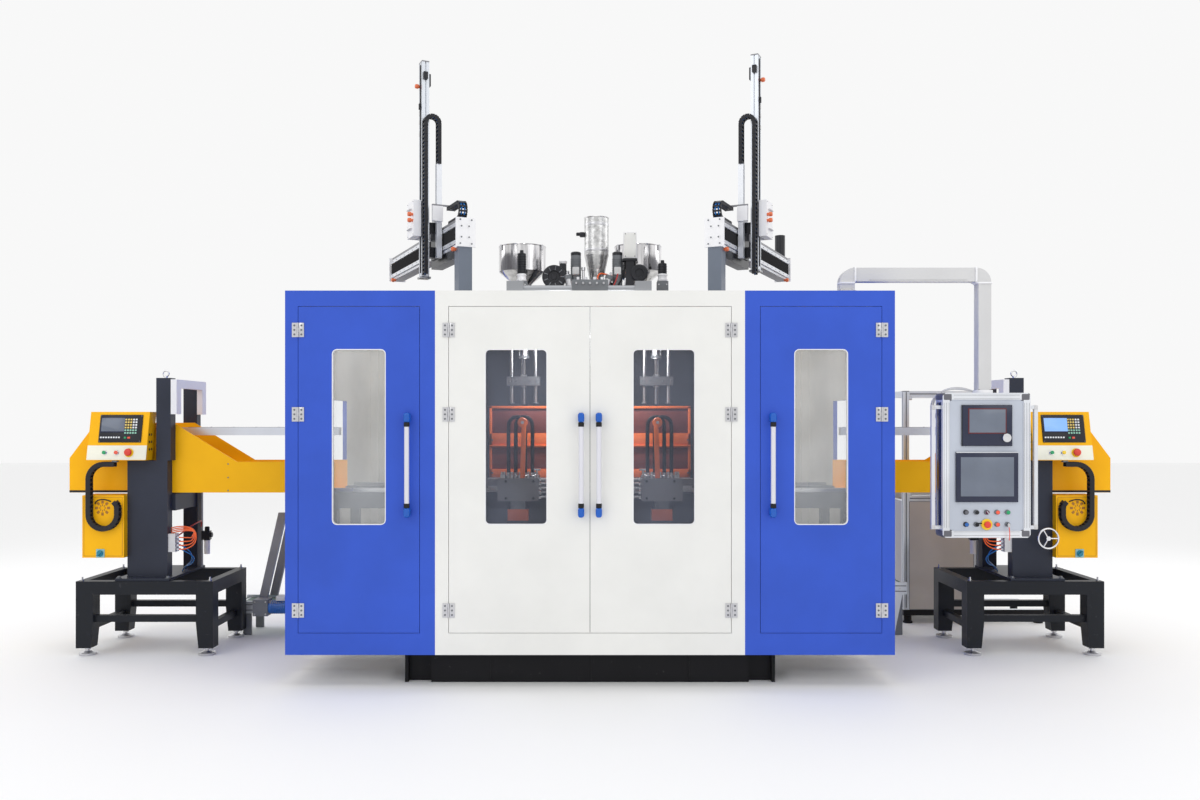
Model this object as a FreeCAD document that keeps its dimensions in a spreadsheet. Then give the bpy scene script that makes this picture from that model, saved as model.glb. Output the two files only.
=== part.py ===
import FreeCAD, Part
import math
import os
import re
import Sketcher
from FreeCAD import Placement, Rotation, Vector

# Double-station blow moulding line: enclosed moulding machine, two take-out robots on its
# roof, a swinging operator panel, and a free-standing outfeed station on each side.
# X runs to the right, Y to the back, Z up. The origin is the middle of the base skid's
# underside. Left-hand pieces are built at negative X and mirrored for the right.

doc = FreeCAD.newDocument("blow_moulding_machine")
sheet = doc.addObject("Spreadsheet::Sheet", "Sizes")

sizes = {
    # enclosure
    "enclosure_width": 3660,
    "enclosure_depth": 2300,
    "enclosure_bottom": 190,
    "enclosure_top": 2377,
    "centre_width": 1860,
    "skin": 30,
    "frame_depth": 40,
    "roof_sheet": 5,
    "roof_front_strip": 300,
    "roof_edge_strip": 60,
    "roof_hole_inset": 330,
    "roof_hole_front": 480,
    "roof_hole_back": 2000,
    # doors
    "door_bottom": 320,
    "door_top": 2283,
    "door_gap": 3,
    "door_thickness": 22,
    "blue_hinge_margin": 77,
    "blue_door_width": 732,
    "white_hinge_margin": 80,
    "window_bottom": 973,
    "window_top": 2023,
    "window_radius": 28,
    "blue_window_width": 318,
    "white_window_width": 370,
    "white_window_shift": 19,
    "pane_lap": 15,
    "pane_thickness": 5,
    # door hinges and handles
    "hinge_low": 458,
    "hinge_middle": 1634,
    "hinge_high": 2140,
    "hinge_leaf": 36,
    "hinge_height": 86,
    "leaf_thickness": 5,
    "knuckle_radius": 6,
    "knuckle_gap": 1,
    "pin_radius": 3,
    "pin_clearance": 0.05,
    "handle_bottom": 1019,
    "handle_top": 1644,
    "handle_radius": 15,
    "handle_standoff": 50,
    "handle_bracket": 60,
    "handle_bracket_width": 38,
    "blue_handle_inset": 70,
    "white_handle_inset": 53,
    # base skid
    "base_width": 2260,
    "base_setback": 108,
    "base_flange": 20,
    "base_lip": 20,
    "base_beam": 150,
    "base_end_setback": 45,
    "base_end_width": 180,
    "base_end_plate": 20,
    "centre_beam": 200,
    # inner frame
    "floor_beam": 100,
    "post": 60,
    "top_beam": 72,
    "head_beam": 50,
    "head_beam_height": 70,
    "head_beam_gap": 110,
    # clamp bed, carriages, platens and moulds
    "clamp_setback": 700,
    "station_offset": 444,
    "bed_beam": 100,
    "bed_bottom": 1040,
    "bed_half_length": 1700,
    "bed_leg": 60,
    "rail_spacing": 600,
    "rail_width": 34,
    "rail_height": 25,
    "rail_inset": 50,
    "bearing_height": 25,
    "bearing_length": 100,
    "bearing_width": 90,
    "carriage_width": 410,
    "carriage_plate": 40,
    "carriage_front": 450,
    "carriage_back": 470,
    "drive_block_width": 255,
    "drive_block_depth": 90,
    "drive_block_bottom": 1100,
    "drive_block_top": 1240,
    "drive_neck": 50,
    "drive_foot_height": 70,
    "platen_thickness": 80,
    "platen_top": 1690,
    "platen_foot": 50,
    "platen_border": 30,
    "platen_rib": 26,
    "platen_recess": 45,
    "mould_width": 320,
    "mould_thickness": 160,
    "mould_bottom": 1250,
    "mould_top": 1680,
    "cavity_floor": 1320,
    "cavity_radius": 62,
    "cavity_shoulder": 1570,
    "cavity_neck_bottom": 1610,
    "neck_radius": 22,
    # blow pins
    "blow_block_width": 220,
    "blow_block_depth": 80,
    "blow_block_bottom": 1830,
    "blow_block_height": 60,
    "guide_rod_radius": 12,
    "guide_rod_spacing": 160,
    "guide_rod_bottom": 1710,
    "guide_clearance": 0.05,
    "cylinder_radius": 34,
    "cylinder_bottom": 2010,
    "piston_rod_radius": 14,
    "piston_rod_top": 2200,
    "piston_end_gap": 20,
    "blow_pin_radius": 15,
    "blow_pin_bottom": 1705,
    "blow_plate": 20,
    # die head and extruders
    "head_radius": 98,
    "die_radius": 66,
    "die_bottom": 1860,
    "die_top": 1930,
    "head_flange_width": 420,
    "head_flange": 30,
    "manifold": 240,
    "barrel_height": 2470,
    "barrel_radius": 55,
    "screw_radius": 25,
    "screw_clearance": 0.1,
    "barrel_setback": 860,
    "throat_setback": 1400,
    "drive_setback": 1480,
    "throat_width": 110,
    "throat_top": 2577,
    "left_extruder": -500,
    "centre_extruder": 48,
    "right_extruder": 355,
    "melt_pipe_radius": 32,
    "gearbox_width": 180,
    "gearbox_depth": 230,
    "gearbox_top": 2600,
    "motor_radius": 78,
    "motor_length": 300,
    "saddle": 60,
    # hoppers and the fittings beside them
    "hopper_wall": 4,
    "hopper_outlet_radius": 40,
    "side_hopper_radius": 173,
    "side_hopper_cone_top": 2690,
    "side_hopper_rim": 2880,
    "centre_hopper_radius": 90,
    "centre_hopper_cone_top": 2814,
    "centre_hopper_rim": 3095,
    "loader_radius": 31,
    "loader_base": 80,
    "loader_base_top": 2594,
    "loader_collar_height": 56,
    "left_loader_top": 2791,
    "right_loader_top": 2719,
    "left_loader_shift": 9,
    "right_loader_shift": 166,
    "loader_hopper_gap": 4,
    "feeder_motor_radius": 36,
    "feeder_motor_top": 2790,
    "feeder_motor_spread": 150,
    "blower_radius": 81,
    "blower_height": 2625,
    "blower_length": 110,
    "blower_seat": 5,
    "junction_box_width": 92,
    "junction_box_depth": 60,
    "junction_box_shift": 68,
    "junction_box_reach": 30,
    "junction_box_bottom": 2760,
    "junction_box_top": 2945,
    # take-out robots, along the beam from its near end and outward from its middle
    "beam_angle": 24.8,
    "robot_inset": 794,
    "robot_setback": 400,
    "robot_beam_length": 1803,
    "robot_beam_width": 80,
    "robot_beam_bottom": 2710,
    "robot_beam_height": 186,
    "robot_end_plate": 15,
    "robot_end_width": 130,
    "robot_column": 90,
    "robot_column_start": 11,
    "robot_foot": 12,
    "robot_foot_width": 180,
    "robot_prop_length": 560,
    "robot_prop_height": 60,
    "robot_rail": 12,
    "robot_rail_height": 25,
    "arm_position": 420,
    "arm_offset": 158,
    "arm_width": 75,
    "arm_thickness": 50,
    "arm_bottom": 2560,
    "arm_top": 4002,
    "right_arm_raise": 45,
    "grip_plate": 14,
    "grip_width": 74,
    "slide_plate": 20,
    "slide_plate_length": 160,
    "slide_plate_height": 235,
    "slide_overhang": 20,
    "slide_bearing": 5,
    "guide_block_height": 70,
    "guide_block_length": 50,
    "chain_post": 36,
    "post_gap": 10,
    "post_set": 2,
    "chain_post_top": 3310,
    "chain_post_bottom": 2682,
    "clamp_block_height": 100,
    "valve_box_bottom": 2826,
    "valve_box_top": 3067,
    "valve_box": 52,
    "valve_box_gap": 6,
    "valve_plate": 8,
    "arm_motor": 36,
    "arm_motor_bottom": 3840,
    "arm_motor_height": 84,
    "chain_width": 56,
    "chain_thickness": 26,
    "chain_loop_radius": 46,
    "chain_loop_height": 3578,
    "beam_chain_turn": 112,
    "beam_chain_reach": 300,
    "chain_bracket": 10,
    "end_motor_radius": 40,
    "end_motor_height": 168,
    # operator panel on its swing arm
    "arm_root_inset": 260,
    "panel_gap": 578,
    "panel_setback": 133,
    "swing_tube_width": 72,
    "swing_tube_height": 84,
    "swing_tube_bottom": 2445,
    "swing_elbow": 90,
    "swing_flange_radius": 62,
    "swing_flange": 15,
    "drop_post": 78,
    "panel_collar_radius": 58,
    "panel_collar": 18,
    "panel_width": 533,
    "panel_depth": 127,
    "panel_bottom": 885,
    "panel_top": 1765,
    "panel_chamfer": 18,
    "panel_recess": 6,
    "panel_border": 42,
    "panel_handle": 22,
    "panel_handle_reach": 58,
    "panel_handle_bottom": 934,
    "panel_handle_top": 1689,
    "upper_screen_width": 304,
    "upper_screen_bottom": 1442,
    "upper_screen_top": 1691,
    "screen_margin": 36.5,
    "lower_screen_bottom": 1102,
    "lower_screen_top": 1406,
    "screen_thickness": 14,
    "knob_radius": 27,
    "knob_offset": 115,
    "knob_height": 1492,
    "button_radius": 13,
    "button_length": 18,
    "button_pitch": 63,
    "button_upper_row": 1040,
    "button_lower_row": 966,
    "stop_radius": 21,
    "stop_cap": 16,
    "stop_stem_radius": 8,
    "stop_travel": 5,
    "stop_collar_radius": 29,
    "stop_collar": 10,
    # outfeed stations
    "table_gap": 727,
    "table_width": 930,
    "table_setback": 780,
    "table_depth": 660,
    "table_top": 505,
    "table_rail": 90,
    "table_rail_thickness": 60,
    "leg_width": 116,
    "leg_depth": 100,
    "leg_bottom": 52,
    "leg_taper": 17,
    "leg_taper_top": 225,
    "stretcher": 45,
    "stretcher_height": 185,
    "foot_radius": 57,
    "foot_thickness": 14,
    "foot_stem_radius": 12,
    "column_inset": 351,
    "column_width": 275,
    "column_depth": 80,
    "column_setback": 881,
    "column_top": 1321,
    "column_plate": 17,
    "column_plate_lip": 47,
    "mast_overhang": 23,
    "mast_width": 100,
    "mast_top": 1890,
    "rear_mast_top": 1860,
    "rear_mast_depth": 70,
    "mast_tie_bottom": 970,
    "mast_tie_top": 1085,
    "bracket_width": 40,
    "bracket_beam": 60,
    "eyebolt_radius": 20,
    "eyebolt_wire": 6,
    "head_depth": 380,
    "head_wall": 8,
    "head_overhang": 1066,
    "head_insertion": 50,
    "head_tip_length": 183,
    "head_top_length": 540,
    "head_slope_length": 443,
    "head_bottom": 1095,
    "head_shoulder": 1335,
    "head_top": 1580,
    "head_arm_top": 1309,
    "head_rail": 56,
    "head_rail_bottom": 1492,
    "head_rail_setback": 170,
    "control_inset": 512,
    "control_width": 403,
    "control_bottom": 1326,
    "control_top": 1656,
    "control_setback": 790,
    "control_depth": 103,
    "control_lean": 67,
    "control_bracket_bottom": 1420,
    "control_bracket_top": 1600,
    "cabinet_width": 285,
    "cabinet_setback": 830,
    "cabinet_depth": 180,
    "cabinet_bottom": 659,
    "cabinet_top": 1085,
    "conduit_width": 44,
    "conduit_thickness": 34,
    "conduit_start_inset": 205,
    "conduit_inset": 15,
    "conduit_height": 1295,
    "conduit_bend": 60,
    "conduit_loop_height": 960,
    "conduit_loop_radius": 99,
    "conduit_end_bend": 55,
    "conduit_end_height": 1005,
    "wheel_inset": 214,
    "wheel_height": 793,
    "wheel_radius": 68,
    "wheel_rim": 7,
    "wheel_hub_radius": 15,
    "wheel_shaft": 70,
    # conveyors and feeder tower
    "conveyor_setback": 1445,
    "conveyor_width": 300,
    "left_conveyor_length": 820,
    "left_conveyor_height": 250,
    "right_conveyor_length": 530,
    "right_conveyor_height": 390,
    "conveyor_rail": 90,
    "conveyor_roller": 40,
    "conveyor_foot": 60,
    "chute_rise": 660,
    "chute_run": 150,
    "chute_post": 30,
    "tower_gap": 640,
    "tower_width": 600,
    "tower_setback": 1880,
    "tower_depth": 500,
    "tower_top": 1828,
    "tower_base": 60,
    "tower_post": 45,
    "tower_panel_top": 960,
    "tower_base_length": 1110,
    # side openings for the stations' arms
    "side_hole_margin": 60,
    "side_hole_bottom": 960,
    "side_hole_top": 1740,
}

# positions along the line, each counted from the piece it belongs to
placed = {
    "arm_root_offset": "enclosure_width / 2 - arm_root_inset",
    "panel_offset": "enclosure_width / 2 + panel_gap",
    "lower_screen_width": "panel_width - 2 * (panel_border + screen_margin)",
    "table_inner": "enclosure_width / 2 + table_gap",
    "column_inner": "table_inner + column_inset",
    "mast_inner": "column_inner - mast_overhang",
    "head_outer": "table_inner + head_overhang",
    "head_reach": "enclosure_width / 2 - head_insertion",
    "head_slope_top": "head_outer - head_tip_length",
    "head_slope_start": "head_slope_top - head_top_length",
    "head_slope_end": "head_slope_start - head_slope_length",
    "control_outer": "column_inner + control_inset",
    "conduit_start": "control_outer - conduit_start_inset",
    "conduit_outer": "control_outer - conduit_inset",
    "wheel_offset": "column_inner + wheel_inset",
    "tower_inner": "enclosure_width / 2 + tower_gap",
}

for row, (name, value) in enumerate(sizes.items(), start=1):
    sheet.set(f"A{row}", name)
    sheet.set(f"B{row}", str(value))
    sheet.setAlias(f"B{row}", name)
doc.recompute()
for row, (name, value) in enumerate(placed.items(), start=len(sizes) + 1):
    sheet.set(f"A{row}", name)
    sheet.set(f"B{row}", f"={value}")
    sheet.setAlias(f"B{row}", name)
    doc.recompute()
size_names = set(sizes) | set(placed)

# positions that many pieces share
front = "(-enclosure_depth / 2)"
back = "(enclosure_depth / 2)"
side = "(enclosure_width / 2)"
centre = "(centre_width / 2)"
clamp_y = f"({front} + clamp_setback)"
barrel_front = f"({front} + barrel_setback)"
throat_y = f"({front} + throat_setback)"
drive_y = f"({front} + drive_setback)"
blue_hinge = "(-enclosure_width / 2 + blue_hinge_margin)"
blue_free = f"({blue_hinge} + blue_door_width)"
white_hinge = "(-centre_width / 2 + white_hinge_margin)"
panel_y = f"({front} + panel_setback)"
panel_front = f"({panel_y} - panel_depth / 2)"
head_front = f"({front} + column_setback + column_depth)"
head_back = f"({head_front} + head_depth)"
bed_top = "(bed_bottom + bed_beam)"
carriage_bottom = f"({bed_top} + rail_height + bearing_height)"
carriage_top = f"({carriage_bottom} + carriage_plate)"
frame_top = "(enclosure_top - roof_sheet - top_beam)"
arm_inner = "(arm_offset - arm_thickness / 2)"
arm_outer = "(arm_offset + arm_thickness / 2)"
arm_near = "(arm_position - arm_width / 2)"
arm_far = "(arm_position + arm_width / 2)"


def formula(text):
    """The expression with every size name pointed at its cell of the sheet."""
    return re.sub(r"[a-z_]+", lambda word: f"Sizes.{word.group()}" if word.group() in size_names else word.group(), str(text))


def number(text):
    """The value of an expression, for shapes that Part's own functions make."""
    return float(sheet.evalExpression(formula(text)))


def middle(position, width):
    """The two ends of a width centred on a position."""
    return f"({position}) - ({width}) / 2", f"({position}) + ({width}) / 2"


def place(piece, x="0", y="0", z="0"):
    """Tie a piece's position to the sizes."""
    for axis, text in zip("xyz", (x, y, z)):
        piece.setExpression(f"Placement.Base.{axis}", formula(text))
    return piece


def block(x, y, z):
    """A block between two positions along each axis."""
    piece = doc.addObject("Part::Box", "block")
    for length, (low, high) in zip(("Length", "Width", "Height"), (x, y, z)):
        piece.setExpression(length, formula(f"({high}) - ({low})"))
    return place(piece, x[0], y[0], z[0])


turns = {
    "x": Rotation(Vector(0, 1, 0), 90),
    "y": Rotation(Vector(1, 0, 0), -90),
    "z": Rotation(),
}


def rod(axis, start, end, across, radius):
    """A round bar along one axis; across gives its middle on the two other axes, in order."""
    piece = doc.addObject("Part::Cylinder", "rod")
    piece.Placement = Placement(Vector(), turns[axis])
    piece.setExpression("Radius", formula(radius))
    piece.setExpression("Height", formula(f"({end}) - ({start})"))
    position = list(across)
    position.insert("xyz".index(axis), start)
    return place(piece, *position)


def fuse(*pieces):
    """Pieces welded into one solid."""
    joined = doc.addObject("Part::MultiFuse", "fuse")
    joined.Shapes = list(pieces)
    return joined


def cut(base, *tools):
    """A piece with one or more bores or hollows taken out of it."""
    piece = doc.addObject("Part::Cut", "cut")
    piece.Base = base
    piece.Tool = tools[0] if len(tools) == 1 else fuse(*tools)
    return piece


def group(*pieces):
    """Separate solids kept together."""
    bundle = doc.addObject("Part::Compound", "group")
    bundle.Links = list(pieces)
    return bundle


def mirror(piece):
    """The right-hand copy of a left-hand piece."""
    copy = doc.addObject("Part::Mirroring", "mirror")
    copy.Source = piece
    copy.Normal = Vector(1, 0, 0)
    return copy


def both(*pieces):
    """Left-hand pieces together with their right-hand copies."""
    left = group(*pieces)
    return group(left, mirror(left))


def frame_around(x, y, z, hole_x, hole_z):
    """Four strips round a rectangular opening in a wall that faces the front."""
    return (
        block((x[0], hole_x[0]), y, z),
        block((hole_x[1], x[1]), y, z),
        block(hole_x, y, (z[0], hole_z[0])),
        block(hole_x, y, (hole_z[1], z[1])),
    )


# sketch helpers for the pieces that are cut or folded from one blank

def new_body():
    return doc.addObject("PartDesign::Body", "body")


def new_sketch(body, plane, offset="0"):
    """A sketch on one of the body's own planes, moved along the plane's normal."""
    sketch = body.newObject("Sketcher::SketchObject", "sketch")
    support = [item for item in body.Origin.OriginFeatures if item.Role == plane][0]
    sketch.AttachmentSupport = [(support, "")]
    sketch.MapMode = "FlatFace"
    sketch.setExpression("AttachmentOffset.Base.z", formula(offset))
    return sketch


def pin_point(sketch, edge, end, x, y):
    """Hold one end of a sketch edge at a position given by the sizes."""
    for kind, text in (("DistanceX", x), ("DistanceY", y)):
        row = sketch.addConstraint(Sketcher.Constraint(kind, -1, 1, edge, end, number(text)))
        sketch.setExpression(f"Constraints[{row}]", formula(text))


def polygon(sketch, points):
    """A closed outline of straight edges."""
    corners = [Vector(number(x), number(y), 0) for x, y in points]
    first = sketch.GeometryCount
    for start, end in zip(corners, corners[1:] + corners[:1]):
        sketch.addGeometry(Part.LineSegment(start, end), False)
    for step, (x, y) in enumerate(points):
        following = first + (step + 1) % len(points)
        sketch.addConstraint(Sketcher.Constraint("Coincident", first + step, 2, following, 1))
        pin_point(sketch, first + step, 1, x, y)


def rounded(sketch, x, y, radius):
    """A rectangle with four equal round corners, each arc held by its middle and both its ends."""
    (left, right), (low, high) = x, y
    turn = {
        "low_left": (f"({left}) + ({radius})", f"({low}) + ({radius})", 180),
        "low_right": (f"({right}) - ({radius})", f"({low}) + ({radius})", 270),
        "high_right": (f"({right}) - ({radius})", f"({high}) - ({radius})", 0),
        "high_left": (f"({left}) + ({radius})", f"({high}) - ({radius})", 90),
    }
    arcs = []
    for middle_x, middle_y, start in turn.values():
        circle = Part.Circle(Vector(number(middle_x), number(middle_y), 0), Vector(0, 0, 1), number(radius))
        begin = math.radians(start)
        arcs.append(sketch.addGeometry(Part.ArcOfCircle(circle, begin, begin + math.pi / 2), False))
        pin_point(sketch, arcs[-1], 3, middle_x, middle_y)
        row = sketch.addConstraint(Sketcher.Constraint("Radius", arcs[-1], number(radius)))
        sketch.setExpression(f"Constraints[{row}]", formula(radius))
    for this, following in zip(arcs, arcs[1:] + arcs[:1]):
        start = sketch.getPoint(this, 2)
        end = sketch.getPoint(following, 1)
        line = sketch.addGeometry(Part.LineSegment(start, end), False)
        sketch.addConstraint(Sketcher.Constraint("Tangent", this, 2, line, 1))
        sketch.addConstraint(Sketcher.Constraint("Tangent", line, 2, following, 1))


def pad(body, sketch, length, reverse=False, midplane=False):
    feature = body.newObject("PartDesign::Pad", "pad")
    feature.Profile = sketch
    feature.setExpression("Length", formula(length))
    feature.Reversed = reverse
    feature.Midplane = midplane
    return feature


def pocket(body, sketch, length, reverse=False, midplane=False):
    feature = body.newObject("PartDesign::Pocket", "pocket")
    feature.Profile = sketch
    feature.setExpression("Length", formula(length))
    feature.Reversed = reverse
    feature.Midplane = midplane
    return feature


def wall_plate(y, thickness):
    """An empty body and its first sketch, upright at one depth, for a plate that grows backwards."""
    body = new_body()
    return body, new_sketch(body, "XZ_Plane", f"-({y})")


def band(origin, along, points, width, thickness):
    """A flat chain swept along straight runs and arcs.

    Each entry of points is a corner, or a pair of an arc's middle point and its end.
    """
    edges = []
    here = points[0]
    for item in points[1:]:
        if isinstance(item, tuple):
            edges.append(Part.Arc(here, *item).toShape())
            here = item[1]
        else:
            edges.append(Part.LineSegment(here, item).toShape())
            here = item
    path = Part.Wire(edges)
    start = points[0]
    ahead = (edges[0].valueAt(edges[0].LastParameter) - start).normalize()
    across = along.cross(ahead).normalize()
    corners = [start + along * a * width / 2 + across * b * thickness / 2 for a, b in ((-1, -1), (1, -1), (1, 1), (-1, 1))]
    profile = Part.makePolygon(corners + corners[:1])
    solid = path.makePipeShell([profile], True, False)
    piece = doc.addObject("Part::Feature", "band")
    piece.Shape = solid
    piece.Placement = origin
    return piece


parts = {}


# ---- base skid and inner frame ----

def base_skid():
    low, high = "0", "enclosure_bottom - base_flange"
    near = f"{front} + base_setback"
    far = f"{back} - base_setback"
    inner_near = f"{near} + base_beam"
    inner_far = f"{far} - base_beam"
    edge = "base_width / 2"
    shoulder = "base_width / 2 - base_end_width"
    beams = [
        block((f"-({shoulder})", shoulder), (near, inner_near), (low, high)),
        block((f"-({shoulder})", shoulder), (inner_far, far), (low, high)),
        block(middle("0", "centre_beam"), (inner_near, inner_far), (low, high)),
    ]
    ends = []
    for outer, inner in ((edge, shoulder),):
        ends.append(block((f"-({outer})", f"-({inner})"), (f"{near} + base_end_setback", f"{far} - base_end_setback"), (low, high)))
        ends.append(block((f"-({outer})", f"-({outer}) + base_end_plate"), (near, f"{near} + base_end_setback"), (low, high)))
        ends.append(block((f"-({inner}) - base_end_plate", f"-({inner})"), (near, f"{near} + base_end_setback"), (low, high)))
        ends.append(block((f"-({outer})", f"-({outer}) + base_end_plate"), (f"{far} - base_end_setback", far), (low, high)))
    flange = [
        block((f"-({edge}) - base_lip", f"{edge} + base_lip"), (f"{near} - base_lip", inner_near), (high, "enclosure_bottom")),
        block((f"-({edge}) - base_lip", f"{edge} + base_lip"), (inner_far, f"{far} + base_lip"), (high, "enclosure_bottom")),
        block(middle("0", "centre_beam"), (inner_near, inner_far), (high, "enclosure_bottom")),
    ]
    sides = block((f"-({edge}) - base_lip", f"-({shoulder})"), (inner_near, inner_far), (high, "enclosure_bottom"))
    return group(*beams, *flange, both(*ends, sides))


def machine_frame():
    near = f"{front} + frame_depth"
    far = f"{back} - skin"
    floor_top = "enclosure_bottom + floor_beam"
    outer = f"-{side} + skin"
    inner = f"-{centre} + post / 2"
    beams = []
    for low, high, deep in (("enclosure_bottom", floor_top, "floor_beam"), (frame_top, f"{frame_top} + top_beam", "post")):
        beams.append(block((outer, f"-({outer})"), (near, f"{near} + {deep}"), (low, high)))
        beams.append(block((outer, f"-({outer})"), (f"{far} - {deep}", far), (low, high)))
    left = []
    for start in (outer, f"{inner} - post"):
        for low, high, deep in (("enclosure_bottom", floor_top, "floor_beam"), (frame_top, f"{frame_top} + top_beam", "post")):
            left.append(block((start, f"{start} + post"), (f"{near} + {deep}", f"{far} - {deep}"), (low, high)))
        for low, high in ((near, f"{near} + post"), (f"{far} - post", far)):
            left.append(block((start, f"{start} + post"), (low, high), (floor_top, frame_top)))
    span = (f"-{centre} - post / 2", f"{centre} + post / 2")
    carriers = []
    for sign in ("-", "+"):
        start = f"{clamp_y} {sign} head_beam_gap"
        ends = (f"{start} - head_beam", start) if sign == "-" else (start, f"{start} + head_beam")
        carriers.append(block(span, ends, (f"{frame_top} - head_beam_height", frame_top)))
    flange = rod("z", "enclosure_top", "enclosure_top + swing_flange", ("arm_root_offset", panel_y), "swing_flange_radius")
    return group(*beams, both(*left), *carriers, flange)


# ---- sheet-metal panels ----

def blue_bay_panels():
    upright = ("enclosure_bottom", "enclosure_top")
    depth = (front, f"{front} + frame_depth")
    outer = f"-{side}"
    inner = f"-{centre}"
    strips = frame_around((outer, inner), depth, upright, (blue_hinge, blue_free), ("door_bottom", "door_top"))
    behind = f"{front} + frame_depth"
    wall = (outer, f"{outer} + skin")
    hole = (f"{head_front} - side_hole_margin", f"{head_back} + side_hole_margin")
    side_wall = (
        block(wall, (behind, hole[0]), upright),
        block(wall, (hole[1], back), upright),
        block(wall, hole, ("enclosure_bottom", "side_hole_bottom")),
        block(wall, hole, ("side_hole_top", "enclosure_top")),
    )
    rear = block((f"{outer} + skin", inner), (f"{back} - skin", back), upright)
    roof = ("enclosure_top - roof_sheet", "enclosure_top")
    across = (f"{outer} + skin", inner)
    near = f"{front} + roof_front_strip"
    far = f"{back} - skin - roof_edge_strip"
    roof_strips = (
        block(across, (behind, near), roof),
        block(across, (far, f"{back} - skin"), roof),
        block((across[0], f"{across[0]} + roof_edge_strip"), (near, far), roof),
        block((f"{inner} - roof_edge_strip", inner), (near, far), roof),
    )
    return both(*strips, *side_wall, rear, *roof_strips)


def centre_bay_panels():
    upright = ("enclosure_bottom", "enclosure_top")
    depth = (front, f"{front} + frame_depth")
    across = (f"-{centre}", centre)
    strips = frame_around(across, depth, upright, (white_hinge, f"-{white_hinge}"), ("door_bottom", "door_top"))
    rear = block(across, (f"{back} - skin", back), upright)
    roof = ("enclosure_top - roof_sheet", "enclosure_top")
    near = f"{front} + roof_hole_front"
    far = f"{front} + roof_hole_back"
    hole = (f"-{centre} + roof_hole_inset", f"{centre} - roof_hole_inset")
    sheets = (
        block(across, (f"{front} + frame_depth", near), roof),
        block(across, (far, f"{back} - skin"), roof),
        block((across[0], hole[0]), (near, far), roof),
        block((hole[1], across[1]), (near, far), roof),
    )
    return group(*strips, rear, *sheets)


# ---- doors ----

hinge_heights = ("hinge_low", "hinge_middle", "hinge_high")
door_edges = {
    "blue": (f"{blue_hinge} + door_gap", f"{blue_free} - door_gap"),
    "white": (f"{white_hinge} + door_gap", "-door_gap / 2"),
}
hinge_lines = {
    "blue": f"({blue_hinge} + door_gap / 2)",
    "white": f"({white_hinge} + door_gap / 2)",
}
window_middles = {
    "blue": f"(({blue_hinge} + {blue_free}) / 2)",
    "white": f"({white_hinge} / 2 - white_window_shift)",
}
handle_middles = {
    "blue": f"({blue_free} - blue_handle_inset)",
    "white": "(-white_handle_inset)",
}


def door_leaf(colour):
    """A flat leaf with a round-cornered window cut through it."""
    low, high = "door_bottom + door_gap", "door_top - door_gap"
    left, right = door_edges[colour]
    body, sketch = wall_plate(front, "door_thickness")
    polygon(sketch, ((left, low), (right, low), (right, high), (left, high)))
    pad(body, sketch, "door_thickness", reverse=True)
    window = new_sketch(body, "XZ_Plane", f"-({front})")
    across = middle(window_middles[colour], f"{colour}_window_width")
    rounded(window, across, ("window_bottom", "window_top"), "window_radius")
    pocket(body, window, "door_thickness")
    return body


def door_window(colour):
    """A clear pane behind the leaf, lapping the opening all round."""
    body, sketch = wall_plate(f"{front} + door_thickness", "pane_thickness")
    across = middle(window_middles[colour], f"{colour}_window_width + 2 * pane_lap")
    rounded(sketch, across, ("window_bottom - pane_lap", "window_top + pane_lap"), "window_radius + pane_lap")
    pad(body, sketch, "pane_thickness", reverse=True)
    return body


def knuckle(line, low, high, radius):
    return rod("z", low, high, (line, f"{front} - knuckle_radius"), radius)


def fixed_leaf(line, height):
    """The hinge leaf on the frame: plate, two knuckles and the pin."""
    depth = (f"{front} - leaf_thickness", front)
    bottom, top = middle(height, "hinge_height")
    low_knuckle = (bottom, f"{height} - hinge_height / 6 - knuckle_gap / 2")
    high_knuckle = (f"{height} + hinge_height / 6 + knuckle_gap / 2", top)
    pieces = [block((f"{line} - hinge_leaf", f"{line} - knuckle_radius - knuckle_gap"), depth, (bottom, top))]
    for ends in (low_knuckle, high_knuckle):
        pieces.append(block((f"{line} - knuckle_radius - knuckle_gap", line), depth, ends))
        pieces.append(knuckle(line, *ends, "knuckle_radius"))
    pieces.append(knuckle(line, bottom, top, "pin_radius"))
    return fuse(*pieces)


def moving_leaf(line, height):
    """The hinge leaf on the door: plate and one bored knuckle."""
    depth = (f"{front} - leaf_thickness", front)
    bottom, top = middle(height, "hinge_height")
    ends = (f"{height} - hinge_height / 6 + knuckle_gap / 2", f"{height} + hinge_height / 6 - knuckle_gap / 2")
    plate = fuse(
        block((f"{line} + knuckle_radius + knuckle_gap", f"{line} + hinge_leaf"), depth, (bottom, top)),
        block((line, f"{line} + knuckle_radius + knuckle_gap"), depth, ends),
        knuckle(line, *ends, "knuckle_radius"),
    )
    return cut(plate, knuckle(line, *ends, "pin_radius + pin_clearance"))


def door_fittings(colour):
    """The handle tube on its two end brackets, and the door's own hinge leaves."""
    position = handle_middles[colour]
    across = middle(position, "handle_bracket_width")
    depth = (f"{front} - handle_standoff - handle_radius - 3", front)
    low, high = "handle_bottom + handle_bracket", "handle_top - handle_bracket"
    brackets = (
        block(across, depth, ("handle_bottom", low)),
        block(across, depth, (high, "handle_top")),
    )
    tube = rod("z", low, high, (position, f"{front} - handle_standoff"), "handle_radius")
    leaves = [moving_leaf(hinge_lines[colour], height) for height in hinge_heights]
    return group(*brackets, tube, *leaves)


def door_hinge_frame_leaves():
    return both(*[fixed_leaf(line, height) for line in hinge_lines.values() for height in hinge_heights])


# ---- clamp bed, carriages, platens and moulds ----

station_x = "(-station_offset)"


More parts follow.
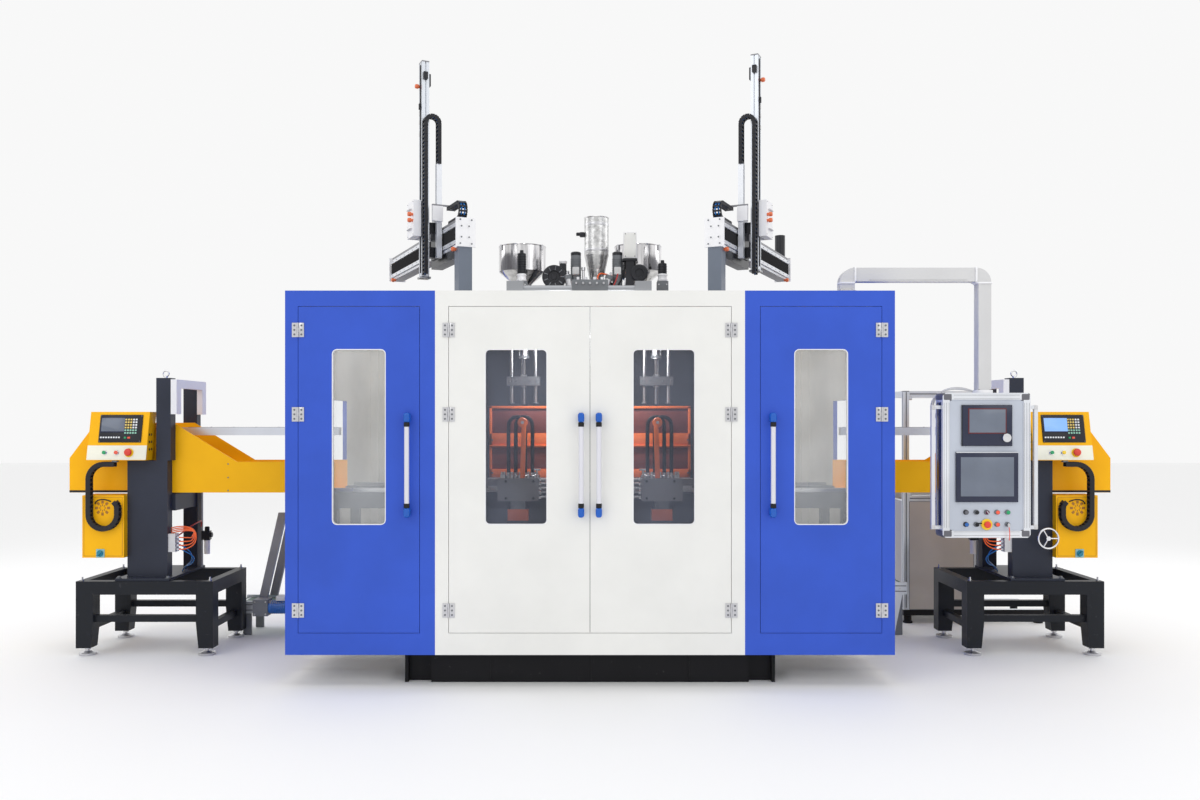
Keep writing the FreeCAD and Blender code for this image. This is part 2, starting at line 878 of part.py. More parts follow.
def clamp_guideways():
    """Two black beams with rails for the carriages, and the guide rods of both blow pins."""
    pieces = []
    for sign in ("-", "+"):
        line = f"({clamp_y} {sign} rail_spacing / 2)"
        pieces.append(block(("-bed_half_length", "bed_half_length"), middle(line, "bed_beam"), ("bed_bottom", bed_top)))
        rail = ("-bed_half_length + rail_inset", "bed_half_length - rail_inset")
        pieces.append(block(rail, middle(line, "rail_width"), (bed_top, f"{bed_top} + rail_height")))
        leg = ("enclosure_bottom + floor_beam", "bed_bottom")
        for position in ("-bed_half_length + bed_leg", f"-{centre}", "0", centre, "bed_half_length - bed_leg"):
            pieces.append(block(middle(position, "bed_leg"), middle(line, "bed_leg"), leg))
        sill = ("enclosure_bottom", "enclosure_bottom + floor_beam")
        gaps = ((f"-{side} + skin + post", f"-{centre} - post / 2"), (f"-{centre} + post / 2", f"{centre} - post / 2"))
        for ends in (*gaps, (f"{centre} + post / 2", f"{side} - skin - post")):
            pieces.append(block(ends, middle(line, "bed_leg"), sill))
    return group(*pieces, both(*blow_unit_guides()))


def blow_unit_guides():
    """The fixed half of a blow pin unit: carrier plate, two guide rods and the air cylinder."""
    plate_width = "2 * head_beam_gap + 2 * head_beam"
    plate = block(middle(station_x, plate_width), middle(clamp_y, plate_width), (frame_top, f"{frame_top} + blow_plate"))
    rods = [
        rod("z", "guide_rod_bottom", frame_top, (f"{station_x} {sign} guide_rod_spacing / 2", clamp_y), "guide_rod_radius")
        for sign in ("-", "+")
    ]
    cylinder = cut(
        rod("z", "cylinder_bottom", frame_top, (station_x, clamp_y), "cylinder_radius"),
        rod("z", "cylinder_bottom", "piston_rod_top + piston_end_gap", (station_x, clamp_y), "piston_rod_radius + guide_clearance"),
    )
    return (plate, *rods, cylinder)


def carriage():
    """The shuttle plate on four bearing blocks, with the clamp drive block on its front."""
    pieces = []
    edge = "carriage_width / 2"
    for sign in ("-", "+"):
        line = f"({clamp_y} {sign} rail_spacing / 2)"
        for start, end in ((f"{station_x} - {edge}", f"{station_x} - {edge} + bearing_length"), (f"{station_x} + {edge} - bearing_length", f"{station_x} + {edge}")):
            pieces.append(block((start, end), middle(line, "bearing_width"), (f"{bed_top} + rail_height", carriage_bottom)))
    near = f"{clamp_y} - carriage_front"
    across = middle(station_x, "carriage_width")
    pieces.append(block(across, (near, f"{clamp_y} + carriage_back"), (carriage_bottom, carriage_top)))
    depth = (f"{near} - drive_block_depth", near)
    pieces.append(block(middle(station_x, "drive_block_width"), depth, ("drive_block_bottom", "drive_block_top")))
    neck = ("drive_block_bottom - drive_neck", "drive_block_bottom")
    pieces.append(block(middle(station_x, "drive_block_depth"), depth, neck))
    foot = ("drive_block_bottom - drive_neck - drive_foot_height", "drive_block_bottom - drive_neck")
    pieces.append(block(middle(station_x, "drive_block_width / 2"), depth, foot))
    return group(*pieces)


def platen(rear):
    """A cast frame whose outer face has two rows of three recesses."""
    reach = "mould_thickness" if rear else "(-mould_thickness)"
    inner = f"({clamp_y} + {reach})"
    outer = f"({inner} + platen_thickness)" if rear else f"({inner} - platen_thickness)"
    left, right = middle(station_x, "carriage_width")
    body = new_body()
    blank = new_sketch(body, "XZ_Plane", f"-{inner}")
    polygon(blank, ((left, carriage_top), (right, carriage_top), (right, "platen_top"), (left, "platen_top")))
    pad(body, blank, "platen_thickness", reverse=rear)
    recesses = new_sketch(body, "XZ_Plane", f"-{outer}")
    clear = "(carriage_width - 2 * platen_border - 2 * platen_rib) / 3"
    tall = f"(platen_top - {carriage_top} - platen_foot - platen_border - platen_rib) / 2"
    for column in range(3):
        x0 = f"({left} + platen_border + {column} * ({clear} + platen_rib))"
        for row in range(2):
            z0 = f"({carriage_top} + platen_foot + {row} * ({tall} + platen_rib))"
            corners = ((x0, z0), (f"{x0} + {clear}", z0), (f"{x0} + {clear}", f"{z0} + {tall}"), (x0, f"{z0} + {tall}"))
            polygon(recesses, corners)
    pocket(body, recesses, "platen_recess", reverse=not rear)
    return body


def mould_half(rear):
    """A mould block with half a bottle turned out of its parting face."""
    left, right = middle(station_x, "mould_width")
    body = new_body()
    blank = new_sketch(body, "XZ_Plane", f"-{clamp_y}")
    polygon(blank, ((left, "mould_bottom"), (right, "mould_bottom"), (right, "mould_top"), (left, "mould_top")))
    pad(body, blank, "mould_thickness", reverse=rear)
    profile = new_sketch(body, "XZ_Plane", f"-{clamp_y}")
    wide = f"{station_x} + cavity_radius"
    neck = f"{station_x} + neck_radius"
    outline = (
        (station_x, "cavity_floor"),
        (wide, "cavity_floor"),
        (wide, "cavity_shoulder"),
        (neck, "cavity_neck_bottom"),
        (neck, "mould_top"),
        (station_x, "mould_top"),
    )
    polygon(profile, outline)
    groove = body.newObject("PartDesign::Groove", "groove")
    groove.Profile = profile
    groove.ReferenceAxis = (profile, ["Edge6"])
    groove.Angle = 360
    return body


def blow_pin():
    """The sliding block with its two guide bores, the piston rod above and the pin below."""
    block_top = "(blow_block_bottom + blow_block_height)"
    plate = block(middle(station_x, "blow_block_width"), middle(clamp_y, "blow_block_depth"), ("blow_block_bottom", block_top))
    bores = [
        rod("z", "blow_block_bottom", block_top, (f"{station_x} {sign} guide_rod_spacing / 2", clamp_y), "guide_rod_radius + guide_clearance")
        for sign in ("-", "+")
    ]
    piston = rod("z", block_top, "piston_rod_top", (station_x, clamp_y), "piston_rod_radius")
    pin = rod("z", "blow_pin_bottom", "blow_block_bottom", (station_x, clamp_y), "blow_pin_radius")
    return group(cut(plate, *bores), piston, pin)


# ---- die head and extruders ----

extruders = ("left_extruder", "centre_extruder", "right_extruder")


def die_head():
    """Flange on the two carrier beams, head and die ring below it, manifold above."""
    flange_top = f"{frame_top} + head_flange"
    flange = block(middle("0", "head_flange_width"), middle(clamp_y, "head_flange_width"), (frame_top, flange_top))
    body = rod("z", "die_top", frame_top, ("0", clamp_y), "head_radius")
    ring = rod("z", "die_bottom", "die_top", ("0", clamp_y), "die_radius")
    tower = block(middle("0", "manifold"), middle(clamp_y, "manifold"), (flange_top, "barrel_height + barrel_radius"))
    return group(flange, body, ring, tower)


def extruder_barrels():
    """Bored barrels with their feed throats, end blocks, saddles and melt pipes."""
    pieces = []
    start = barrel_front
    for position in extruders:
        tube = rod("y", start, drive_y, (position, "barrel_height"), "barrel_radius")
        throat = block(middle(position, "throat_width"), middle(throat_y, "throat_width"), ("barrel_height", "throat_top"))
        bore = rod("y", start, drive_y, (position, "barrel_height"), "screw_radius + screw_clearance")
        feed = rod("z", "barrel_height", "throat_top", (position, throat_y), "screw_radius")
        pieces.append(cut(fuse(tube, throat), bore, feed))
    tall = ("barrel_height - barrel_radius", "barrel_height + barrel_radius")
    for position, sign in (("left_extruder", "-"), ("right_extruder", "+")):
        deep = (f"{clamp_y} - barrel_radius", start)
        pieces.append(block(middle(position, "2 * barrel_radius"), deep, tall))
        face = f"{position} + barrel_radius" if sign == "-" else f"{position} - barrel_radius"
        ends = (face, "-manifold / 2") if sign == "-" else ("manifold / 2", face)
        pieces.append(rod("x", *ends, (clamp_y, "barrel_height"), "melt_pipe_radius"))
    pieces.append(rod("y", f"{clamp_y} + manifold / 2", start, ("centre_extruder", "barrel_height"), "melt_pipe_radius"))
    return group(*pieces)


def extruder_deck():
    """Cross beams over the roof opening, which carry the gearboxes and barrels."""
    across = (f"-{centre} + roof_hole_inset - saddle", f"{centre} - roof_hole_inset + saddle")
    deck = ("enclosure_top", "barrel_height - barrel_radius")
    return [block(across, middle(line, "saddle"), deck) for line in (f"{throat_y} - 3 * saddle", f"{drive_y} + gearbox_depth / 2")]


def loader(position, line, bottom, top):
    """A granule loader: square base, pale collar and dark suction head. One stands on a barrel."""
    collar_top = "(loader_base_top + loader_collar_height)"
    depth = middle(line, "loader_base")
    base = block(middle(position, "loader_base"), depth, (bottom, "loader_base_top"))
    if bottom == "barrel_height":
        base = cut(base, rod("y", *depth, ("left_extruder", "barrel_height"), "barrel_radius"))
    collar = rod("z", "loader_base_top", collar_top, (position, line), "loader_radius")
    head = rod("z", collar_top, top, (position, line), "loader_radius")
    return base, collar, head


def extruder_drives():
    """Gearbox and motor of each extruder, the blower, the loaders and the junction box."""
    pieces = extruder_deck()
    rear = f"{drive_y} + gearbox_depth"
    low = "barrel_height - barrel_radius"
    for position in extruders:
        pieces.append(block(middle(position, "gearbox_width"), (drive_y, rear), (low, "gearbox_top")))
        pieces.append(rod("y", rear, f"{rear} + motor_length", (position, "barrel_height + motor_radius / 2"), "motor_radius"))
    beam_top = "barrel_height - barrel_radius"
    front_beam = f"({throat_y} - 3 * saddle)"
    blower_x = "(left_extruder + 3 * blower_radius)"
    blower_base = (beam_top, "blower_height - blower_radius + blower_seat")
    blower_case = rod("y", *middle(front_beam, "blower_length"), (blower_x, "blower_height"), "blower_radius")
    pieces.append(fuse(block(middle(blower_x, "saddle"), middle(front_beam, "saddle"), blower_base), blower_case))
    loader_y = f"({throat_y} - side_hopper_radius - loader_hopper_gap - loader_radius)"
    pieces.extend(loader("left_extruder + left_loader_shift", loader_y, "barrel_height", "left_loader_top"))
    pieces.extend(loader("right_extruder + right_loader_shift", loader_y, beam_top, "right_loader_top"))
    for sign in ("-", "+"):
        across = (f"centre_extruder {sign} feeder_motor_spread", front_beam)
        pieces.append(rod("z", beam_top, "feeder_motor_top", across, "feeder_motor_radius"))
    box_x = "(right_extruder - junction_box_shift)"
    box_y = f"({front_beam} - junction_box_reach)"
    post_depth = middle(box_y, "junction_box_depth")
    post = block(middle(box_x, "saddle"), post_depth, (beam_top, "junction_box_bottom"))
    pieces.append(cut(post, rod("y", *post_depth, ("right_extruder", "barrel_height"), "barrel_radius")))
    upright = ("junction_box_bottom", "junction_box_top")
    pieces.append(block(middle(box_x, "junction_box_width"), middle(box_y, "junction_box_depth"), upright))
    return group(*pieces)


def hopper(position, radius, cone_top, rim):
    """A thin-walled hopper turned in one piece: cylinder above, cone below."""
    body = new_body()
    profile = new_sketch(body, "XZ_Plane", f"-{throat_y}")
    middle_line = f"({position})"
    outline = (
        ("hopper_outlet_radius", "throat_top"),
        (radius, cone_top),
        (radius, rim),
        (f"{radius} - hopper_wall", rim),
        (f"{radius} - hopper_wall", f"{cone_top}"),
        ("hopper_outlet_radius - hopper_wall", "throat_top"),
    )
    polygon(profile, [(f"{middle_line} + {x}", z) for x, z in outline])
    axis = new_sketch(body, "XZ_Plane", f"-{throat_y}")
    axis.addGeometry(Part.LineSegment(Vector(number(position), number("throat_top"), 0), Vector(number(position), number(rim), 0)), False)
    pin_point(axis, 0, 1, position, "throat_top")
    pin_point(axis, 0, 2, position, rim)
    turned = body.newObject("PartDesign::Revolution", "turned")
    turned.Profile = profile
    turned.ReferenceAxis = (axis, ["Edge1"])
    turned.Angle = 360
    return body


def hoppers():
    side_form = ("side_hopper_radius", "side_hopper_cone_top", "side_hopper_rim")
    centre_form = ("centre_hopper_radius", "centre_hopper_cone_top", "centre_hopper_rim")
    forms = (side_form, centre_form, side_form)
    return group(*[hopper(position, *form) for position, form in zip(extruders, forms)])


def screw(position):
    """The round body of an extruder screw, from the barrel's front to the gearbox."""
    return rod("y", barrel_front, drive_y, (position, "barrel_height"), "screw_radius")


# ---- take-out robots, built along their own beam and then turned into place ----

slide_face = "(robot_beam_width / 2 + robot_rail + slide_bearing)"
slide_bottom = "(robot_beam_bottom - slide_overhang)"
slide_top = f"({slide_bottom} + slide_plate_height)"
plate_start = "(arm_position - slide_plate_length / 4)"
beam_top = "(robot_beam_bottom + robot_beam_height)"
clamp_top = f"({slide_top} + clamp_block_height)"
bracket_end = f"({arm_near} - post_gap - chain_post)"


def on_robot(*pieces):
    """Turn pieces from the beam's own directions into the machine's."""
    bundle = group(*pieces)
    bundle.Placement = Placement(Vector(), Rotation(Vector(0, 0, 1), 90))
    bundle.setExpression("Placement.Rotation.Angle", formula("90 + beam_angle"))
    return place(bundle, "-robot_inset", f"{front} + robot_setback")


def robot_gantry():
    """Column, prop, beam with two rails, and an end plate at each end."""
    half = "robot_beam_width / 2"
    column_end = "robot_column_start + robot_column"
    length = ("robot_end_plate", "robot_beam_length - robot_end_plate")
    upright = ("robot_beam_bottom", beam_top)
    wide = middle("0", "robot_end_width")
    foot = middle("robot_column_start + robot_column / 2", "robot_foot_width")
    pieces = [
        block(foot, middle("0", "robot_foot_width"), ("enclosure_top", "enclosure_top + robot_foot")),
        block(("robot_column_start", column_end), middle("0", "robot_column"), ("enclosure_top + robot_foot", "robot_beam_bottom")),
        block((column_end, f"{column_end} + robot_prop_length"), middle("0", "robot_beam_width"), ("robot_beam_bottom - robot_prop_height", "robot_beam_bottom")),
        block(length, middle("0", "robot_beam_width"), upright),
        block(("0", "robot_end_plate"), wide, upright),
        block(("robot_beam_length - robot_end_plate", "robot_beam_length"), wide, upright),
    ]
    for height in ("robot_beam_bottom + robot_rail_height", f"{beam_top} - 2 * robot_rail_height"):
        pieces.append(block(length, (half, f"{half} + robot_rail"), (height, f"{height} + robot_rail_height")))
    return on_robot(*pieces)


def robot_gantries():
    """Both gantries; the right one also carries a motor at its far end."""
    left = robot_gantry()
    across = ("robot_beam_length - robot_end_plate - 2 * end_motor_radius", "0")
    motor = on_robot(rod("z", beam_top, f"{beam_top} + end_motor_height", across, "end_motor_radius"))
    return group(left, mirror(left), mirror(motor))


def robot_carriage():
    """The slide on the beam: bearings, plate, arm guides, chain post and valve box."""
    end = f"({plate_start} + slide_plate_length)"
    outer = f"({slide_face} + slide_plate)"
    pieces = [block((plate_start, end), (slide_face, outer), (slide_bottom, slide_top))]
    for height in ("robot_beam_bottom + robot_rail_height", f"{beam_top} - 2 * robot_rail_height"):
        ends = (height, f"{height} + robot_rail_height")
        pieces.append(block((plate_start, end), (f"{slide_face} - slide_bearing", slide_face), ends))
    guide = middle("arm_position", "guide_block_length")
    for low in (slide_bottom, f"{slide_top} - guide_block_height"):
        pieces.append(block(guide, (outer, arm_inner), (low, f"{low} + guide_block_height")))
    post_end = f"({arm_near} - post_gap)"
    post_start = f"({post_end} - chain_post)"
    post_depth = (f"{slide_face} + post_set", f"{slide_face} + post_set + chain_post")
    clamp = (slide_top, clamp_top)
    pieces.append(block((post_start, post_end), post_depth, ("chain_post_bottom", "chain_post_top")))
    pieces.append(block((post_end, f"{arm_near} + 2 * chain_post"), (slide_face, post_depth[1]), clamp))
    clamp_ends = (f"{post_start} - chain_post / 2", post_start)
    pieces.append(block(clamp_ends, (slide_face, f"{slide_face} + 2 * chain_post"), clamp))
    bracket = ("-chain_width / 2", f"{slide_face} + 2 * chain_post")
    pieces.append(block(clamp_ends, bracket, (clamp_top, f"{clamp_top} + chain_bracket")))
    back_plate = (end, f"{end} + valve_plate")
    box_depth = (f"{arm_outer} + valve_box_gap", f"{arm_outer} + valve_box_gap + valve_box")
    pieces.append(block(back_plate, (slide_face, box_depth[1]), ("valve_box_bottom", slide_top)))
    pieces.append(block((arm_near, end), box_depth, ("valve_box_bottom", "valve_box_top")))
    return on_robot(*pieces)


def robot_arm(raised="0"):
    """The vertical profile, its small motor at the top and the grip plate at the bottom."""
    low, high = f"(arm_bottom + {raised})", f"(arm_top + {raised})"
    profile = block((arm_near, arm_far), (arm_inner, arm_outer), (low, high))
    motor_depth = (f"{arm_inner} - arm_motor / 2", arm_inner)
    motor_low = f"(arm_motor_bottom + {raised})"
    motor = block(middle("arm_position", "arm_motor"), motor_depth, (motor_low, f"{motor_low} + arm_motor_height"))
    grip = block(middle("arm_position", "grip_width"), middle("arm_offset", "grip_width"), (f"{low} - grip_plate", low))
    return on_robot(profile, motor, grip)


def robot_chain():
    """The arm's energy chain, over from the post's top, and the beam's, in a loop above its near end."""
    post_line = number(f"{slide_face} + post_set + chain_post / 2")
    radius = number("chain_loop_radius")
    arm_line = post_line + 2 * radius
    position = number(f"{arm_near} - chain_width / 2")
    turn_height = number("chain_loop_height")
    points = (
        Vector(position, post_line, number("chain_post_top")),
        Vector(position, post_line, turn_height),
        (Vector(position, post_line + radius, turn_height + radius), Vector(position, arm_line, turn_height)),
        Vector(position, arm_line, number("arm_bottom")),
    )
    size = (number("chain_width"), number("chain_thickness"))
    chain = band(Placement(), Vector(1, 0, 0), points, *size)
    low, high = number(f"{beam_top} + chain_thickness / 2"), number(f"{clamp_top} - chain_thickness / 2")
    turn, reach = number("beam_chain_turn"), number("beam_chain_reach")
    bend = (high - low) / 2
    points = (
        Vector(number(bracket_end), 0, high),
        Vector(turn, 0, high),
        (Vector(turn - bend, 0, high - bend), Vector(turn, 0, low)),
        Vector(reach, 0, low),
    )
    beam_chain = band(Placement(), Vector(0, 1, 0), points, *size)
    return on_robot(chain, beam_chain)


# ---- operator panel ----

def panel_arm():
    """The swing arm: neck, two quarter-round elbows, tube and drop post."""
    half = "swing_tube_width / 2"
    depth = (f"{panel_y} - {half}", f"{panel_y} + {half}")
    tube_top = "(swing_tube_bottom + swing_tube_height)"
    neck_half = "swing_elbow / 2"
    left = f"(arm_root_offset - {neck_half})"
    right = f"(panel_offset + drop_post / 2)"
    tube = block((f"{left} + swing_elbow", f"{right} - swing_elbow"), depth, ("swing_tube_bottom", tube_top))
    neck_low = "enclosure_top + swing_flange"
    neck = block((left, f"{left} + swing_elbow"), depth, (neck_low, f"{tube_top} - swing_elbow"))
    post = block(middle("panel_offset", "drop_post"), depth, ("panel_top + panel_collar", f"{tube_top} - swing_elbow"))
    elbows = []
    for position, turned in ((f"{left} + swing_elbow", 180), (f"{right} - swing_elbow", 270)):
        elbow = doc.addObject("Part::Cylinder", "elbow")
        elbow.Placement = Placement(Vector(), Rotation(Vector(1, 0, 0), -90) * Rotation(Vector(0, 0, 1), turned))
        elbow.setExpression("Radius", formula("swing_elbow"))
        elbow.setExpression("Height", formula("swing_tube_width"))
        elbow.Angle = 90
        elbows.append(place(elbow, position, depth[0], f"{tube_top} - swing_elbow"))
    return fuse(tube, neck, post, *elbows)


def panel_box():
    """The housing with its recessed face, its collar and a bar handle on each side."""
    left, right = middle("panel_offset", "panel_width")
    body = new_body()
    blank = new_sketch(body, "XZ_Plane", f"-{panel_front}")
    cut_off = "panel_chamfer"
    outline = (
        (f"{left} + {cut_off}", "panel_bottom"),
        (f"{right} - {cut_off}", "panel_bottom"),
        (right, f"panel_bottom + {cut_off}"),
        (right, f"panel_top - {cut_off}"),
        (f"{right} - {cut_off}", "panel_top"),
        (f"{left} + {cut_off}", "panel_top"),
        (left, f"panel_top - {cut_off}"),
        (left, f"panel_bottom + {cut_off}"),
    )
    polygon(blank, outline)
    pad(body, blank, "panel_depth", reverse=True)
    face = new_sketch(body, "XZ_Plane", f"-{panel_front}")
    border = "panel_border"
    inner = (f"{left} + {border}", f"{right} - {border}")
    tall = (f"panel_bottom + {border}", f"panel_top - {border}")
    polygon(face, ((inner[0], tall[0]), (inner[1], tall[0]), (inner[1], tall[1]), (inner[0], tall[1])))
    pocket(body, face, "panel_recess")
    collar = rod("z", "panel_top", "panel_top + panel_collar", ("panel_offset", panel_y), "panel_collar_radius")
    handles = []
    for edge, sign in ((right, "+"), (left, "-")):
        reach = f"{edge} {sign} panel_handle_reach"
        bar = f"{edge} {sign} (panel_handle_reach - panel_handle)"
        bar_ends = (bar, reach) if sign == "+" else (reach, bar)
        stub_ends = (edge, bar) if sign == "+" else (bar, edge)
        depth = middle(f"{panel_front} + panel_border", "panel_handle")
        handles.append(block(bar_ends, depth, ("panel_handle_bottom", "panel_handle_top")))
        for low in ("panel_handle_bottom", "panel_handle_top - panel_handle"):
            handles.append(block(stub_ends, depth, (low, f"{low} + panel_handle")))
    return group(body, collar, *handles)


panel_face = f"({panel_front} + panel_recess)"
button_columns = [f"(panel_offset + ({step}) * button_pitch)" for step in range(-2, 3)]


def stop_collar():
    """The ring that the emergency-stop button slides in."""
    across = (button_columns[2], "button_lower_row")
    ends = (f"{panel_face} - stop_collar", panel_face)
    return cut(rod("y", *ends, across, "stop_collar_radius"), rod("y", *ends, across, "stop_stem_radius + pin_clearance"))


def panel_controls():
    """Two display units, the rotary knob, nine fixed buttons and the stop button's collar."""
    ends = (f"{panel_face} - screen_thickness", panel_face)
    pieces = [
        block(middle("panel_offset", "upper_screen_width"), ends, ("upper_screen_bottom", "upper_screen_top")),
        block(middle("panel_offset", "lower_screen_width"), ends, ("lower_screen_bottom", "lower_screen_top")),
    ]
    knob_ends = (f"{ends[0]} - screen_thickness", ends[0])
    pieces.append(rod("y", *knob_ends, ("panel_offset + knob_offset", "knob_height"), "knob_radius"))
    for row in ("button_upper_row", "button_lower_row"):
        for column, position in enumerate(button_columns):
            if (row, column) != ("button_lower_row", 2):
                pieces.append(rod("y", f"{panel_face} - button_length", panel_face, (position, row), "button_radius"))
    return group(*pieces, stop_collar())


def panel_stop_button():
    """A mushroom cap on a stem, held off the collar by its travel."""
    across = (button_columns[2], "button_lower_row")
    cap_back = f"({panel_face} - stop_collar - stop_travel)"
    cap = rod("y", f"{cap_back} - stop_cap", cap_back, across, "stop_radius")
    stem = rod("y", cap_back, f"{panel_face} - stop_travel", across, "stop_stem_radius")
    return fuse(cap, stem)


# ---- outfeed stations ----

station_front = f"({front} + table_setback)"
station_back = f"({station_front} + table_depth)"
table_outer = "(-table_inner - table_width)"
column_front = f"({front} + column_setback)"
column_outer = "(-column_inner - column_width)"
column_base = "(table_top + column_plate)"
mast_ends = ("-mast_inner - mast_width", "-mast_inner")


def table_leg(x0, y0, sign):
    """A folded leg, straight above and tapering on its inner edge below."""
    body = new_body()
    sketch = new_sketch(body, "XZ_Plane", f"-({y0})")
    inner = f"({x0} + leg_width)" if sign == "+" else f"({x0})"
    outer = f"({x0})" if sign == "+" else f"({x0} + leg_width)"
    slim = f"{inner} - leg_taper" if sign == "+" else f"{inner} + leg_taper"
    rail_bottom = "table_top - table_rail"
    outline = ((outer, "leg_bottom"), (slim, "leg_bottom"), (inner, "leg_taper_top"), (inner, rail_bottom), (outer, rail_bottom))
    polygon(sketch, outline)
    pad(body, sketch, "leg_depth", reverse=True)
    return body


def station_table():
    """Top rails, legs, stretchers and levelling feet of one table."""
    left, right = table_outer, "(-table_inner)"
    rail = ("table_top - table_rail", "table_top")
    wide = "table_rail_thickness"
    pieces = [
        block((left, right), (station_front, f"{station_front} + {wide}"), rail),
        block((left, right), (f"{station_back} - {wide}", station_back), rail),
        block((left, f"{left} + {wide}"), (f"{station_front} + {wide}", f"{station_back} - {wide}"), rail),
        block((f"{right} - {wide}", right), (f"{station_front} + {wide}", f"{station_back} - {wide}"), rail),
    ]
    bars = middle("stretcher_height", "stretcher")
    for start, sign in ((left, "+"), (f"{right} - leg_width", "-")):
        for near in (station_front, f"{station_back} - leg_depth"):
            pieces.append(table_leg(start, near, sign))
            stem = f"{start} + leg_width / 2"
            across = (stem, f"{near} + leg_depth / 2")
            pieces.append(rod("z", "foot_thickness", "leg_bottom", across, "foot_stem_radius"))
            pieces.append(rod("z", "0", "foot_thickness", across, "foot_radius"))
        inside = f"{start} + leg_width / 2"
        pieces.append(block(middle(inside, "stretcher"), (f"{station_front} + leg_depth", f"{station_back} - leg_depth"), bars))
    for near in (station_front, f"{station_back} - leg_depth"):
        line = middle(f"{near} + leg_depth / 2", "stretcher")
        high = ("leg_taper_top", "leg_taper_top + stretcher")
        pieces.append(block((f"{left} + leg_width", f"{right} - leg_width"), line, high))
    return pieces


def station_columns():
    """Base plate, front column and mast, rear mast, their tie beam and white bracket, and the eyebolt."""
    column = (column_front, f"{column_front} + column_depth")
    rear = (head_back, f"{head_back} + rear_mast_depth")
    tie = ("mast_tie_bottom", "mast_tie_top")
    plate = block(
        (f"{column_outer} - column_plate_lip", "-column_inner + column_plate_lip"),
        (f"{station_front} + table_rail_thickness / 3", f"{station_back} - table_rail_thickness / 10"),
        ("table_top", column_base),
    )
    pieces = [
        plate,
        block((column_outer, "-column_inner"), column, (column_base, "column_top")),
        block(mast_ends, column, ("column_top", "mast_top")),
        block(mast_ends, rear, (column_base, "rear_mast_top")),
        block(mast_ends, (head_front, head_back), tie),
    ]
    strip = ("-mast_inner", "-mast_inner + bracket_width")
    beam_top = "rear_mast_top - bracket_width"
    clear = "head_top + bracket_beam"
    pieces.append(block(strip, column, (clear, beam_top)))
    pieces.append(block(strip, rear, (clear, beam_top)))
    pieces.append(block(strip, (column[0], rear[1]), (beam_top, f"{beam_top} + bracket_beam")))
    ring = doc.addObject("Part::Torus", "ring")
    ring.setExpression("Radius1", formula("eyebolt_radius"))
    ring.setExpression("Radius2", formula("eyebolt_wire"))
    ring.Placement = Placement(Vector(), Rotation(Vector(1, 0, 0), 90))
    line = (f"{mast_ends[0]} + mast_width / 2", f"{column_front} + column_depth / 2")
    place(ring, *line, "mast_top + eyebolt_radius + 2 * eyebolt_wire")
    shank = rod("z", "mast_top", "mast_top + 2 * eyebolt_wire", line, "2 * eyebolt_wire")
    pieces.append(fuse(ring, shank))
    return pieces


def station_head():
    """The folded channel that carries the outfeed, and the rail above it."""
    left, right = "(-head_outer)", "(-head_reach)"
    body = new_body()
    blank = new_sketch(body, "XZ_Plane", f"-({head_front} + head_depth / 2)")
    outline = (
        (left, "head_bottom"),
        (right, "head_bottom"),
        (right, "head_arm_top"),
        ("-head_slope_end", "head_arm_top"),
        ("-head_slope_start", "head_top"),
        ("-head_slope_top", "head_top"),
        (left, "head_shoulder"),
    )
    polygon(blank, outline)
    pad(body, blank, "head_depth", midplane=True)
    inside = new_sketch(body, "XZ_Plane", f"-({head_front} + head_depth / 2)")
    floor = "head_bottom + head_wall"
    polygon(inside, ((f"{left} + head_wall", floor), (right, floor), (right, "head_top"), (f"{left} + head_wall", "head_top")))
    pocket(body, inside, "head_depth - 2 * head_wall", midplane=True)
    rail_y = f"{head_front} + head_rail_setback"
    rail_z = ("head_rail_bottom", "head_rail_bottom + head_rail")
    rail = block(("-head_slope_start", right), middle(rail_y, "head_rail"), rail_z)
    post = block(
        ("-head_slope_start", "-head_slope_start + head_rail"),
        middle(rail_y, "head_rail"),
        (floor, "head_rail_bottom"),
    )
    return group(body, rail, post)


def control_box():
    """The leaning console on the head's near plate, with the bracket behind it."""
    body = new_body()
    blank = new_sketch(body, "YZ_Plane", "-control_outer")
    near = f"({front} + control_setback)"
    outline = (
        (near, "control_bottom"),
        (f"{near} + control_depth", "control_bottom"),
        (f"{near} + control_depth + control_lean", "control_top"),
        (f"{near} + control_lean", "control_top"),
    )
    polygon(blank, outline)
    pad(body, blank, "control_width")
    slope = "control_lean / (control_top - control_bottom)"
    low = f"{near} + control_depth + (control_bracket_bottom - control_bottom) * {slope}"
    high = f"{near} + control_depth + (control_bracket_top - control_bottom) * {slope}"
    wedge = new_sketch(body, "YZ_Plane", "-control_outer + control_width / 4")
    outline = (
        (low, "control_bracket_bottom"),
        (head_front, "control_bracket_bottom"),
        (head_front, "control_bracket_top"),
        (high, "control_bracket_top"),
    )
    polygon(wedge, outline)
    pad(body, wedge, "control_width / 2")
    return body


def station_cabinet():
    """The wall cabinet beside the column."""
    near = f"{front} + cabinet_setback"
    return block((f"{column_outer} - cabinet_width", column_outer), (near, f"{near} + cabinet_depth"), ("cabinet_bottom", "cabinet_top"))


